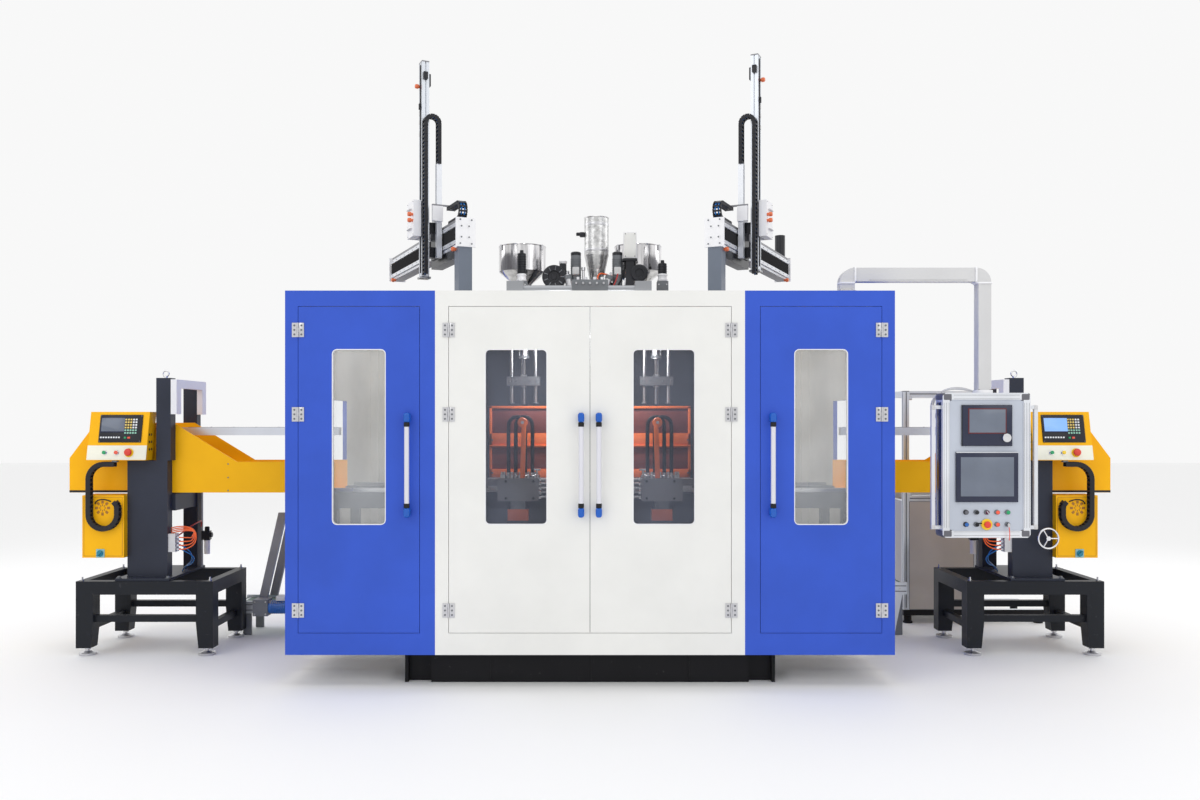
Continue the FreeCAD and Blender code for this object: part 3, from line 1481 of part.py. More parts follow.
def station_conduit():
    """The flexible chain from the console's underside down to the cabinet, in one hanging loop."""
    depth = number(f"{front} + cabinet_setback - conduit_width / 2")
    bend, loop, last = (number(name) for name in ("conduit_bend", "conduit_loop_radius", "conduit_end_bend"))
    top = number("conduit_height")
    outer = -number("conduit_outer")
    low = number("conduit_loop_height")
    end = number("conduit_end_height")
    slant = math.sqrt(0.5)

    def at(x, z):
        return Vector(x, depth, z)

    points = (
        at(-number("conduit_start"), top),
        at(outer + bend, top),
        (at(outer + bend - bend * slant, top - bend + bend * slant), at(outer, top - bend)),
        at(outer, low),
        (at(outer + loop, low - loop), at(outer + 2 * loop, low)),
        at(outer + 2 * loop, end),
        (at(outer + 2 * loop - last + last * slant, end + last * slant), at(outer + 2 * loop - last, end + last)),
    )
    chain = band(Placement(), Vector(0, 1, 0), points, number("conduit_width"), number("conduit_thickness"))
    clip_x = ("-conduit_start - conduit_thickness", "-conduit_start")
    near = f"{front} + control_setback"
    clip = block(clip_x, (near, f"{near} + conduit_thickness"), ("conduit_height + conduit_thickness / 2", "control_bottom"))
    return chain, clip


def station_air_unit():
    """Valve block on the column, and the regulator with its bowl on a post at the rear mast."""
    valve_x = ("-column_inner", "-column_inner + 50")
    valve = block(valve_x, middle(f"{column_front} + column_depth / 2", "60"), ("690", "815"))
    post_y = (f"{head_back} + 10", f"{head_back} + 40")
    post = block(("-mast_inner", "-mast_inner + 30"), post_y, (column_base, "mast_tie_top"))
    body = block(("-mast_inner + 30", "-mast_inner + 90"), (f"{head_back} + 5", f"{head_back} + 45"), ("720", "785"))
    across = ("-mast_inner + 65", f"{head_back} + 25")
    bowl = rod("z", "615", "720", across, "20")
    knob = rod("z", "785", "815", across, "15")
    return valve, post, body, bowl, knob


def handwheel():
    """The lift wheel: rim, three spokes, hub and shaft, on the right column's front."""
    line = ("wheel_offset", "wheel_height")
    plane = f"({column_front} - wheel_shaft)"
    rim = doc.addObject("Part::Torus", "rim")
    rim.setExpression("Radius1", formula("wheel_radius"))
    rim.setExpression("Radius2", formula("wheel_rim"))
    rim.Placement = Placement(Vector(), Rotation(Vector(1, 0, 0), 90))
    place(rim, line[0], plane, line[1])
    pieces = [rim, rod("y", f"{plane} - wheel_rim", column_front, line, "wheel_hub_radius")]
    for turn in (90, 210, 330):
        spoke = doc.addObject("Part::Cylinder", "spoke")
        spoke.Placement = Placement(Vector(), Rotation(Vector(0, 1, 0), turn))
        spoke.setExpression("Radius", formula("wheel_rim - 2"))
        spoke.setExpression("Height", formula("wheel_radius"))
        pieces.append(place(spoke, line[0], plane, line[1]))
    return fuse(*pieces)


# ---- conveyors and feeder tower ----

def conveyor(start, length, height, sign):
    """Side rails, belt, end roller and feet of a low conveyor that meets the side wall."""
    near = f"({front} + conveyor_setback)"
    far = f"({near} + conveyor_width)"
    end = f"({start} {sign} {length})"
    ends = (end, start) if sign == "-" else (start, end)
    low = f"({height} - conveyor_rail)"
    pieces = [
        block(ends, (near, f"{near} + 20"), (low, height)),
        block(ends, (f"{far} - 20", far), (low, height)),
        block(ends, (f"{near} + 20", f"{far} - 20"), (f"{low} + 20", f"{height} - 20")),
    ]
    for share in ("0.12", "0.88"):
        position = f"({start} {sign} {length} * {share})"
        for line in (f"{near} + 10", f"{far} - 10"):
            pieces.append(block(middle(position, "conveyor_foot"), middle(line, "20"), ("0", low)))
    return pieces


def floor_conveyors():
    """The left conveyor with its gear motor and steep chute, and the shorter right conveyor."""
    left = conveyor(f"(-{side})", "left_conveyor_length", "left_conveyor_height", "-")
    right = conveyor(side, "right_conveyor_length", "right_conveyor_height", "+")
    near = f"({front} + conveyor_setback)"
    motor_x = f"(-{side} - left_conveyor_length * 0.72)"
    top = "left_conveyor_height"
    motor_y = middle(f"{near} + 10", "110")
    gear = block(middle(motor_x, "110"), (f"{near} - 110", near), (f"{top} - 90", f"{top} + 30"))
    motor = rod("x", f"{motor_x} + 55", f"{motor_x} + 235", (f"{near} - 55", f"{top} - 30"), "48")
    chute = []
    base_x = f"(-{side} - left_conveyor_length + 180)"
    for line in (f"{near} + 15", f"{near} + conveyor_width - 15"):
        body = new_body()
        sketch = new_sketch(body, "XZ_Plane", f"-({line} - chute_post / 2)")
        outline = (
            (base_x, top),
            (f"{base_x} + 2 * chute_post", top),
            (f"{base_x} + 2 * chute_post + chute_run", f"{top} + chute_rise"),
            (f"{base_x} + chute_run", f"{top} + chute_rise"),
        )
        polygon(sketch, outline)
        pad(body, sketch, "chute_post", reverse=True)
        chute.append(body)
    return group(*left, *right, gear, motor, *chute)


def feeder_tower():
    """A profile frame with closed lower panels, on a long base beam."""
    left = "tower_inner"
    right = "(tower_inner + tower_width)"
    near = f"({front} + tower_setback)"
    far = f"({near} + tower_depth)"
    low = "(tower_base + tower_post)"
    wide = "tower_post"
    pieces = []
    for line in ((near, f"{near} + {wide}"), (f"{far} - {wide}", far)):
        pieces.append(block((left, f"{left} + tower_base_length"), line, ("tower_base", low)))
        pieces.append(block((f"{left} + {wide}", f"{right} - {wide}"), line, (f"tower_top - {wide}", "tower_top")))
        pieces.append(block((f"{left} + {wide}", f"{right} - {wide}"), line, ("tower_panel_top", f"tower_panel_top + {wide}")))
        pieces.append(block((f"{left} + {wide}", f"{right} - {wide}"), line, (low, "tower_panel_top")))
        for start in (left, f"{right} - {wide}"):
            pieces.append(block((start, f"{start} + {wide}"), line, (low, "tower_top")))
        for start in (left, f"{left} + tower_base_length - 80"):
            pieces.append(rod("z", "0", "tower_base", (f"{start} + 40", f"{line[0]} + {wide} / 2"), "30"))
    inner = (f"{near} + {wide}", f"{far} - {wide}")
    for start in (left, f"{right} - {wide}"):
        ends = (start, f"{start} + {wide}")
        pieces.append(block(ends, inner, (f"tower_top - {wide}", "tower_top")))
        pieces.append(block(ends, inner, (low, "tower_panel_top")))
        pieces.append(block(ends, inner, ("tower_base", low)))
    return group(*pieces)


# ---- the nodes ----

parts["base_skid"] = base_skid()
parts["machine_frame"] = machine_frame()
parts["blue_bay_panels"] = blue_bay_panels()
parts["centre_bay_panels"] = centre_bay_panels()
parts["door_hinge_frame_leaves"] = door_hinge_frame_leaves()
parts["clamp_guideways"] = clamp_guideways()
parts["die_head"] = die_head()
parts["extruder_barrels"] = extruder_barrels()
parts["extruder_drives"] = extruder_drives()
parts["hoppers"] = hoppers()
parts["robot_gantries"] = robot_gantries()
parts["station_tables"] = both(*station_table())
parts["station_columns"] = both(*station_columns())
parts["station_cabinets"] = both(station_cabinet())
parts["station_conduits"] = both(*station_conduit())
parts["station_air_units"] = both(*station_air_unit())
parts["floor_conveyors"] = floor_conveyors()
parts["feeder_tower"] = feeder_tower()
parts["panel_arm"] = panel_arm()
parts["panel_box"] = panel_box()
parts["panel_controls"] = panel_controls()
parts["panel_stop_button"] = panel_stop_button()
parts["handwheel"] = handwheel()
for name, position in zip(("left", "centre", "right"), extruders):
    parts[f"{name}_screw"] = screw(position)

mirrored_pairs = {
    "blue_door": door_leaf("blue"),
    "white_door": door_leaf("white"),
    "blue_window": door_window("blue"),
    "white_window": door_window("white"),
    "blue_door_fittings": door_fittings("blue"),
    "white_door_fittings": door_fittings("white"),
    "carriage": carriage(),
    "front_platen": platen(rear=False),
    "rear_platen": platen(rear=True),
    "front_mould": mould_half(rear=False),
    "rear_mould": mould_half(rear=True),
    "blow_pin": blow_pin(),
    "robot_carriage": robot_carriage(),
    "robot_chain": robot_chain(),
    "station_head": station_head(),
    "control_box": control_box(),
}
for name, piece in mirrored_pairs.items():
    parts[f"left_{name}"] = piece
    parts[f"right_{name}"] = mirror(piece)
parts["left_robot_arm"] = robot_arm()
parts["right_robot_arm"] = mirror(robot_arm("right_arm_raise"))

for name, piece in parts.items():
    piece.Label = name
doc.recompute()

for item in doc.Objects:
    if "Invalid" in item.State or "Error" in item.State:
        raise RuntimeError(f"{item.Name} ({item.TypeId}) did not recompute: {item.State}")
for name, piece in parts.items():
    if piece.Shape.isNull() or not piece.Shape.isValid() or not piece.Shape.Solids:
        raise RuntimeError(f"{name} has no valid solid")

os.makedirs("parts", exist_ok=True)
for name, piece in parts.items():
    piece.Shape.exportStep(f"parts/{name}.step")
print(len(parts), "nodes,", sum(len(piece.Shape.Solids) for piece in parts.values()), "solids")
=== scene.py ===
import bpy
import math
import numpy as np
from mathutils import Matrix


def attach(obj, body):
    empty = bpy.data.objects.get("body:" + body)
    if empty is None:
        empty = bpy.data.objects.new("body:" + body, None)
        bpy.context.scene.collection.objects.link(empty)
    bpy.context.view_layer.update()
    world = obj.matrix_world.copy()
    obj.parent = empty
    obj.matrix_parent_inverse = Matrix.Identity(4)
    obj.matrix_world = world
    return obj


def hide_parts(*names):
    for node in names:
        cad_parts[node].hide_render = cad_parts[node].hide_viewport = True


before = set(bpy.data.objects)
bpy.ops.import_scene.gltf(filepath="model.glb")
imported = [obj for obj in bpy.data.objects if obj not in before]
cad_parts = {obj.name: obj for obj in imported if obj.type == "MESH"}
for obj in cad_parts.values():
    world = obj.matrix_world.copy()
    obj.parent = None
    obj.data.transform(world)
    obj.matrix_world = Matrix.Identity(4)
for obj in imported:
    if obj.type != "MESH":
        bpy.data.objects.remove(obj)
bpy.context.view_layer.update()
print("frame loaded:", len(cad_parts), "nodes")

# ---- camera, lights and floor ----

view = {"place": (0, -7.15, 1.6), "lens": 30, "shift": (10 / 1200, 20 / 1200)}
camera = bpy.data.objects.new("camera", bpy.data.cameras.new("camera"))
bpy.context.scene.collection.objects.link(camera)
camera.location = view["place"]
camera.rotation_euler = (math.radians(90), 0, 0)
camera.data.sensor_width = 36
camera.data.lens = view["lens"]
camera.data.shift_x, camera.data.shift_y = view["shift"]
camera.data.clip_end = 60
bpy.context.scene.camera = camera

studio = {
    "sky": 0.94,
    "lamps": [
        ((-5.5, -7.5, 6.5), 5.0, 80),
        ((6.0, -6.5, 5.5), 4.5, 52),
        ((0.0, -1.0, 8.5), 6.0, 66),
        ((-7.5, 2.0, 4.0), 3.5, 45),
        ((7.5, 2.5, 4.0), 3.5, 45),
        ((-0.2, -0.96, 2.18), 0.16, 11),
        ((0.2, -0.96, 2.18), 0.16, 11),
    ],
    "floor": (0.93, 0.93, 0.93),
}
world = bpy.data.worlds.new("studio")
world.use_nodes = True
world.node_tree.nodes["Background"].inputs["Color"].default_value = (1, 1, 1, 1)
world.node_tree.nodes["Background"].inputs["Strength"].default_value = studio["sky"]
bpy.context.scene.world = world
bpy.context.scene.view_settings.view_transform = "Standard"
for number, (place, size, power) in enumerate(studio["lamps"]):
    lamp = bpy.data.objects.new(f"lamp{number}", bpy.data.lights.new(f"lamp{number}", "AREA"))
    lamp.data.energy = power
    lamp.data.size = size
    lamp.location = place
    aim = np.array([0, 0, 1.5]) - np.array(place)
    lamp.rotation_euler = (
        math.atan2(math.hypot(aim[0], aim[1]), -aim[2]), 0, math.atan2(aim[1], aim[0]) - math.pi / 2
    )
    bpy.context.scene.collection.objects.link(lamp)

# ---- finishes ----
# slot, colour, roughness, grain and bump; patch is the slow change of shade
# stretch draws the grain out along an axis, wear mixes in a second colour in small scuffs


def paint(slot, colour, rough, grain, bump, **more):
    # grain is the fine bump's scale, and more holds metal, shine, patch and the rest
    return {"slot": slot, "colour": colour, "rough": rough, "grain": grain, "bump": bump, **more}


finishes = {
    "skidBlack": paint(
        "skid_black", (0.012, 0.012, 0.014), 0.42, 500, 0.25, shine=0.12, wear=(0.06, 0.06, 0.06)
    ),
    "tableBlack": paint(
        "skid_black", (0.017, 0.019, 0.024), 0.38, 420, 0.2, shine=0.16, wear=(0.09, 0.09, 0.1)
    ),
    "frameCream": paint("frame_cream", (0.72, 0.69, 0.62), 0.45, 600, 0.12),
    "bayBlue": paint("bay_blue", (0.032, 0.095, 0.56), 0.42, 700, 0.12, shine=0.3, patch=0.07),
    "bayWhite": paint("bay_white", (0.82, 0.82, 0.795), 0.4, 700, 0.1, patch=0.03),
    "enamel": paint("bay_white", (0.86, 0.86, 0.88), 0.32, 600, 0.08, patch=0.03),
    "insideGrey": paint("slate", (0.1, 0.11, 0.135), 0.5, 400, 0.15),
    "brightSteel": paint("bright_steel", (0.6, 0.6, 0.62), 0.28, 260, 0.08, metal=1, stretch=(1, 1, 0.06)),
    # the large patch with its tall stretch paints dark and bright vertical bands into the colour: a painted
    # reflection on the polished hopper sheet
    "polishedSteel": paint(
        "polished_steel", (0.7, 0.69, 0.7), 0.12, 14, 0.5, metal=1, depth=0.006, stretch=(1.6, 1.6, 0.16),
        patch=0.3, patchSize=16
    ),
    "chrome": paint("polished_steel", (0.78, 0.78, 0.8), 0.1, 80, 0.05, metal=1),
    "filmSteel": paint(
        "polished_steel", (0.6, 0.6, 0.6), 0.24, 30, 0.7, metal=0.8, depth=0.004, patch=0.3, patchSize=34
    ),
    "slatePaint": paint("slate", (0.033, 0.038, 0.056), 0.36, 500, 0.18, shine=0.2, patch=0.12),
    "columnGrey": paint("slate", (0.13, 0.155, 0.2), 0.38, 500, 0.15, patch=0.12),
    "capBlue": paint("control_black", (0.004, 0.1, 0.5), 0.24, 300, 0.05),
    "barSilver": paint(
        "bright_steel", (0.74, 0.74, 0.8), 0.3, 240, 0.06, metal=0.35, stretch=(1, 1, 0.05), patch=0.04
    ),
    # dark orange that is painted shade for the platen's recessed pockets
    "platenPaintedShade": paint("platen_orange", (0.2, 0.045, 0.035), 0.5, 300, 0.2, patch=0.2),
    "platenOrange": paint("platen_orange", (0.95, 0.2, 0.045), 0.35, 500, 0.15),
    "fittingOrange": paint("platen_orange", (0.78, 0.17, 0.06), 0.3, 300, 0.1),
    "mouldSteel": paint("mould_steel", (0.34, 0.35, 0.37), 0.3, 220, 0.12, metal=1, stretch=(0.08, 1, 1)),
    "clearPane": paint("clear_pane", (0.72, 0.75, 0.78), 0.06, 3, 0.03, alpha=0.2, patch=0.2),
    "tintedPane": paint(
        "tinted_pane", (0.1, 0.115, 0.16), 0.07, 3, 0.03, alpha=0.3, patch=0.5, patchSize=2.2
    ),
    "stationYellow": paint("station_yellow", (0.98, 0.485, 0.004), 0.38, 600, 0.14, shine=0.2, patch=0.06),
    "anodised": paint("anodised", (0.66, 0.69, 0.74), 0.34, 300, 0.08, metal=0.75, stretch=(1, 1, 0.05)),
    "railWhite": paint("anodised", (0.74, 0.76, 0.8), 0.3, 300, 0.06, metal=0.35),
    "lightGrey": paint("light_grey", (0.63, 0.63, 0.635), 0.42, 500, 0.15, patch=0.04),
    "faceGrey": paint("light_grey", (0.52, 0.56, 0.64), 0.36, 500, 0.08, metal=0.25, patch=0.05),
    "cornerGrey": paint("control_black", (0.13, 0.13, 0.15), 0.42, 450, 0.2),
    "machineryGrey": paint("machinery_grey", (0.16, 0.17, 0.185), 0.42, 400, 0.3, patch=0.2),
    "plateGrey": paint("machinery_grey", (0.24, 0.24, 0.255), 0.45, 300, 0.2, patch=0.1),
    "chainBlack": paint("chain_black", (0.022, 0.022, 0.026), 0.48, 300, 0.2, shine=0.25),
    "rubberBlack": paint("chain_black", (0.016, 0.016, 0.018), 0.6, 500, 0.3, shine=0.25),
    "controlBlack": paint("control_black", (0.02, 0.021, 0.026), 0.28, 400, 0.1, shine=0.3),
    "bezelNavy": paint("control_black", (0.014, 0.019, 0.05), 0.2, 300, 0.05),
    "screenGrey": paint("control_black", (0.15, 0.175, 0.225), 0.12, 900, 0.03, patch=0.12, patchSize=4),
    "screenBlue": paint("control_black", (0.22, 0.42, 0.85), 0.15, 900, 0.03, glow=0.35),
    "frameRed": paint("control_black", (0.12, 0.008, 0.014), 0.3, 400, 0.1),
    "stopRed": paint("stop_red", (0.72, 0.05, 0.03), 0.3, 300, 0.06),
    "lampRed": paint("stop_red", (0.86, 0.1, 0.05), 0.22, 300, 0.05),
    "lampGreen": paint("control_black", (0.01, 0.33, 0.12), 0.22, 300, 0.05),
    "lampBlue": paint("control_black", (0.02, 0.13, 0.45), 0.25, 300, 0.05),
    "lampYellow": paint("station_yellow", (0.93, 0.62, 0.02), 0.28, 300, 0.05),
    "lampPurple": paint("control_black", (0.12, 0.01, 0.05), 0.25, 300, 0.05),
    "tealPlate": paint("control_black", (0.25, 0.5, 0.55), 0.35, 300, 0.1),
    "tealKnob": paint("control_black", (0.01, 0.22, 0.33), 0.3, 300, 0.1),
    "stripCream": paint("bay_white", (0.88, 0.87, 0.74), 0.4, 500, 0.08),
    "keyWhite": paint("control_black", (0.8, 0.82, 0.84), 0.4, 400, 0.1),
    "keyYellow": paint("control_black", (0.8, 0.6, 0.16), 0.4, 400, 0.1),
    "keyGreen": paint("control_black", (0.3, 0.58, 0.45), 0.4, 400, 0.1),
    "handleBlue": paint("bay_blue", (0.01, 0.1, 0.48), 0.25, 300, 0.06),
    "beltGreen": paint("machinery_grey", (0.13, 0.2, 0.155), 0.6, 700, 0.4, wear=(0.3, 0.33, 0.3)),
    "panelBeige": paint("frame_cream", (0.5, 0.46, 0.42), 0.36, 400, 0.08, patch=0.08),
    "tubeOrange": paint("platen_orange", (0.9, 0.13, 0.02), 0.25, 200, 0.05),
    "tubeBlue": paint("control_black", (0.01, 0.16, 0.5), 0.25, 200, 0.05),
    "hoseRed": paint("stop_red", (0.45, 0.03, 0.03), 0.4, 200, 0.1),
    "ventOrange": paint("station_yellow", (0.42, 0.17, 0.02), 0.5, 200, 0.2),
}
madeFinishes = {}


def finish(name):
    # shade = colour times one plus or minus patch by slow noise; bump and roughness follow fine noise
    if name in madeFinishes:
        return madeFinishes[name]
    given = finishes[name]
    material = bpy.data.materials.new(name)
    material.use_nodes = True
    tree = material.node_tree
    shader = tree.nodes["Principled BSDF"]
    colour = np.array(given["colour"])
    shader.inputs["Metallic"].default_value = given.get("metal", 0)
    shader.inputs["Alpha"].default_value = given.get("alpha", 1)
    shader.inputs["Specular IOR Level"].default_value = given.get("shine", 0.5)
    if given.get("glow"):
        shader.inputs["Emission Color"].default_value = (*colour, 1)
        shader.inputs["Emission Strength"].default_value = given["glow"]
    place = tree.nodes.new("ShaderNodeTexCoord")
    stretch = tree.nodes.new("ShaderNodeMapping")
    stretch.inputs["Scale"].default_value = given.get("stretch", (1, 1, 1))
    tree.links.new(place.outputs["Object"], stretch.inputs["Vector"])
    fine = tree.nodes.new("ShaderNodeTexNoise")
    fine.inputs["Scale"].default_value = given["grain"]
    fine.inputs["Detail"].default_value = 3
    tree.links.new(stretch.outputs["Vector"], fine.inputs["Vector"])
    bump = tree.nodes.new("ShaderNodeBump")
    bump.inputs["Strength"].default_value = given["bump"]
    bump.inputs["Distance"].default_value = given.get("depth", 0.0006)
    tree.links.new(fine.outputs["Fac"], bump.inputs["Height"])
    tree.links.new(bump.outputs["Normal"], shader.inputs["Normal"])
    spread = tree.nodes.new("ShaderNodeMapRange")
    spread.inputs["To Min"].default_value = max(given["rough"] - 0.06, 0.03)
    spread.inputs["To Max"].default_value = given["rough"] + 0.08
    slow = tree.nodes.new("ShaderNodeTexNoise")
    slow.inputs["Scale"].default_value = given.get("patchSize", 3)
    slow.inputs["Detail"].default_value = 4
    tree.links.new(stretch.outputs["Vector"], slow.inputs["Vector"])
    tree.links.new(slow.outputs["Fac"], spread.inputs["Value"])
    tree.links.new(spread.outputs["Result"], shader.inputs["Roughness"])
    shade = tree.nodes.new("ShaderNodeMix")
    shade.data_type = "RGBA"
    patch = given.get("patch", 0.08)
    shade.inputs["A"].default_value = (*(colour * (1 - patch)), 1)
    shade.inputs["B"].default_value = (*np.minimum(colour * (1 + patch), 1), 1)
    contrast = tree.nodes.new("ShaderNodeMapRange")
    contrast.inputs["From Min"].default_value = 0.3
    contrast.inputs["From Max"].default_value = 0.7
    tree.links.new(slow.outputs["Fac"], contrast.inputs["Value"])
    tree.links.new(contrast.outputs["Result"], shade.inputs["Factor"])
    last = shade.outputs["Result"]
    if "wear" in given:
        scuff = tree.nodes.new("ShaderNodeTexNoise")
        scuff.inputs["Scale"].default_value = 26
        scuff.inputs["Detail"].default_value = 8
        scuff.inputs["Roughness"].default_value = 0.7
        tree.links.new(place.outputs["Object"], scuff.inputs["Vector"])
        cut = tree.nodes.new("ShaderNodeMapRange")
        cut.inputs["From Min"].default_value = 0.63
        cut.inputs["From Max"].default_value = 0.78
        tree.links.new(scuff.outputs["Fac"], cut.inputs["Value"])
        worn = tree.nodes.new("ShaderNodeMix")
        worn.data_type = "RGBA"
        worn.inputs["B"].default_value = (*given["wear"], 1)
        tree.links.new(cut.outputs["Result"], worn.inputs["Factor"])
        tree.links.new(last, worn.inputs["A"])
        last = worn.outputs["Result"]
    tree.links.new(last, shader.inputs["Base Color"])
    madeFinishes[name] = material
    return material


def dress(nodeName, base, rules=()):
    # a triangle takes the last rule whose box, mirrored about the middle, holds its centre
    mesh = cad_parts[nodeName].data
    mesh.materials.clear()
    mesh.materials.append(finish(base))
    count = len(mesh.polygons)
    centres = np.zeros(count * 3)
    mesh.polygons.foreach_get("center", centres)
    centres = centres.reshape(-1, 3)
    centres[:, 0] = np.abs(centres[:, 0])
    index = np.zeros(count, dtype=np.int32)
    names = [base]
    for name, *ranges in rules:
        if name not in names:
            names.append(name)
            mesh.materials.append(finish(name))
        low, high = np.array(ranges).T
        inside = np.all((centres >= low) & (centres <= high), axis=1)
        index[inside] = names.index(name)
    mesh.polygons.foreach_set("material_index", index)
    mesh.update()


anywhere = (-9, 9)

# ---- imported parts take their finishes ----

inside = ((0, 1.8005), (-1.1105, 1.1205), (0.19, 2.3725))
nodeFinishes = {
    "base_skid": ("skidBlack",),
    "machine_frame": (
        "frameCream", ("skidBlack", anywhere, anywhere, (0, 0.29)),
        ("insideGrey", (0, 0.965), anywhere, (0.29, 2.38))
    ),
    "blue_bay_panels": ("bayBlue", ("frameCream", *inside)),
    "centre_bay_panels": ("bayWhite", ("insideGrey", *inside)), "door_hinge_frame_leaves": ("brightSteel",),
    "clamp_guideways": (
        "insideGrey", ("brightSteel", anywhere, anywhere, (1.1405, 1.17)),
        ("brightSteel", (0.3, 0.6), anywhere, (1.7, 2.31))
    ),
    "die_head": ("mouldSteel", ("machineryGrey", anywhere, anywhere, (2.299, 2.6))),
    "extruder_barrels": ("mouldSteel",),
    "extruder_drives": (
        "machineryGrey", ("frameCream", anywhere, anywhere, (2.37, 2.414)),
        ("lampBlue", (0, 0.6), (0.561, 0.87), (2.41, 2.62)),
        ("controlBlack", (0.17, 0.34), (0.01, 0.13), (2.4155, 2.71)),
        ("enamel", (0.455, 0.57), (0, 0.09), (2.595, 2.6495)),
        ("controlBlack", (0.455, 0.57), (0, 0.09), (2.651, 2.8)),
        ("machineryGrey", (0.06, 0.2395), (0.03, 0.11), (2.4155, 2.792)),
        ("controlBlack", (0.25, 0.32), (0.0, 0.08), (2.4155, 2.759)),
        ("enamel", (0.2405, 0.34), (0.0, 0.08), (2.7605, 2.95)),
    ),
    "hoppers": ("polishedSteel", ("filmSteel", (0, 0.15), anywhere, (2.5, 3.04))),
    "station_tables": ("tableBlack", ("brightSteel", anywhere, anywhere, (-0.01, 0.053))),
    "station_columns": (
        "slatePaint", ("plateGrey", (2.886, 2.984), (-0.1885, 0.1905), (0.96, 1.09)),
        ("enamel", (2.84, 2.8849), anywhere, (1.6, 1.9)),
        ("chrome", (2.9, 2.97), (-0.25, -0.21), (1.891, 1.96)),
    ),
    "station_cabinets": ("stationYellow",),
    "station_air_units": (
        "controlBlack", ("lightGrey", (2.857, 2.909), (-0.26, -0.19), (0.68, 0.82)),
        ("machineryGrey", (2.8545, 2.886), (0.19, 0.24), (0.5, 1.09)),
        ("enamel", (2.79, 2.8499), (0.19, 0.24), (0.61, 0.72))
    ),
    "floor_conveyors": (
        "machineryGrey", ("anodised", (1.82, 2.66), (0.294, 0.3151), (0.159, 0.391)),
        ("anodised", (1.82, 2.66), (0.5749, 0.5951), (0.159, 0.391)),
        ("beltGreen", (1.82, 2.66), (0.3152, 0.5748), (0.17, 0.372)),
        ("lampBlue", (2.18, 2.3649), (0.187, 0.289), (0.17, 0.27)),
        ("plateGrey", (2.25, 2.48), anywhere, (0.2505, 0.92)),
    ),
    "feeder_tower": (
        "anodised", ("panelBeige", (2.516, 3.0245), anywhere, (0.106, 0.9595)),
        ("panelBeige", anywhere, (0.776, 1.1845), (0.106, 0.9595)),
        ("skidBlack", anywhere, anywhere, (0, 0.1049)),
    ),
    "panel_arm": ("lightGrey",),
    "panel_box": (
        "railWhite", ("faceGrey", (2.186, 2.63), (-1.09, -1.0735), (0.93, 1.722)),
        ("bezelNavy", (2.1, 2.1435), (-1.03, -1.0), (0.94, 1.71)),
        ("enamel", (2.34, 2.47), anywhere, (1.7655, 1.79)),
    ),
    "panel_controls": ("controlBlack", ("bezelNavy", anywhere, anywhere, (1.1, 1.41))),
    "panel_stop_button": ("stopRed",), "handwheel": ("chrome",),
}
plainFinishes = {
    "blue_door": "bayBlue",
    "white_door": "bayWhite",
    "blue_window": "clearPane",
    "white_window": "tintedPane",
    "front_platen": "platenOrange",
    "rear_platen": "platenOrange",
    "front_mould": "mouldSteel",
    "rear_mould": "mouldSteel",
    "screw": "chrome",
    "control_box": "stationYellow",
}
for side in ("left", "right"):
    for name, look in plainFinishes.items():
        nodeFinishes[f"{side}_{name}"] = (look,)
    for colour, reach in (("blue", (1.07, 1.12)), ("white", (0.03, 0.08))):
        nodeFinishes[f"{side}_{colour}_door_fittings"] = (
            "brightSteel",
            ("anodised", reach, (-1.22, -1.151), (1.079, 1.584)),
            ("handleBlue", reach, (-1.22, -1.149), (1.0, 1.079)),
            ("handleBlue", reach, (-1.22, -1.149), (1.584, 1.65)),
        )
    nodeFinishes[f"{side}_carriage"] = (
        "machineryGrey",
        ("brightSteel", anywhere, anywhere, (1.16, 1.1895)),
        ("plateGrey", anywhere, (-1.0, -0.8995), (1.099, 1.25)),
        ("machineryGrey", anywhere, (-1.0, -0.8995), (1.05, 1.0995)),
        ("fittingOrange", anywhere, (-1.0, -0.8995), (0.97, 1.0495)),
    )
    nodeFinishes[f"{side}_blow_pin"] = ("mouldSteel", ("chrome", anywhere, anywhere, (1.891, 2.21)))
    nodeFinishes[f"{side}_station_head"] = (
        "stationYellow", ("anodised", (1.77, 2.91), (-0.0475, 0.0095), (1.34, 1.55))
    )
nodeFinishes["centre_screw"] = ("chrome",)
for nodeName, (base, *rules) in nodeFinishes.items():
    dress(nodeName, base, rules)
print("packed parts dressed")

# ---- shapes: points, four-sided faces and end caps ----


def facedOut(points, quads, caps):
    # the faces turn round where the volume they shut in, the sum of corner products over six, is below nought
    fans = [np.stack([np.full(len(cap) - 2, cap[0]), cap[1:-1], cap[2:]], -1) for cap in caps]
    triangles = np.vstack([quads[:, [0, 1, 2]], quads[:, [0, 2, 3]], *fans])
    a, b, c = (points[triangles[:, k]] - points.mean(0) for k in range(3))
    if np.sum(a * np.cross(b, c)) < 0:
        return points, quads[:, ::-1], [cap[::-1] for cap in caps]
    return points, quads, caps


def gridShape(rows, ring=True, closed=False):
    # a grid of points; its columns close on themselves, and its first and last rows are filled or joined
    count, width = rows.shape[:2]
    steps = count if closed else count - 1
    r, c = np.meshgrid(np.arange(steps), np.arange(width if ring else width - 1), indexing="ij")
    up, on = (r + 1) % count, (c + 1) % width
    quads = np.stack([r * width + c, r * width + on, up * width + on, up * width + c], -1).reshape(-1, 4)
    caps = [] if closed or not ring else [np.arange(width)[::-1], np.arange(width) + (count - 1) * width]
    points = rows.reshape(-1, 3)
    return facedOut(points, quads, caps) if ring else (points, quads, caps)


def lathe(profile, steps=24):
    # a profile of radius and height turned about z: (r cos t, r sin t, h)
    radius, height = np.array(profile, float).T
    turn = np.linspace(0, 2 * math.pi, steps, endpoint=False)
    rows = np.stack(
        [
            radius[:, None] * np.cos(turn), radius[:, None] * np.sin(turn),
            np.repeat(height[:, None], steps, 1)
        ],
        -1
    )
    return gridShape(rows)


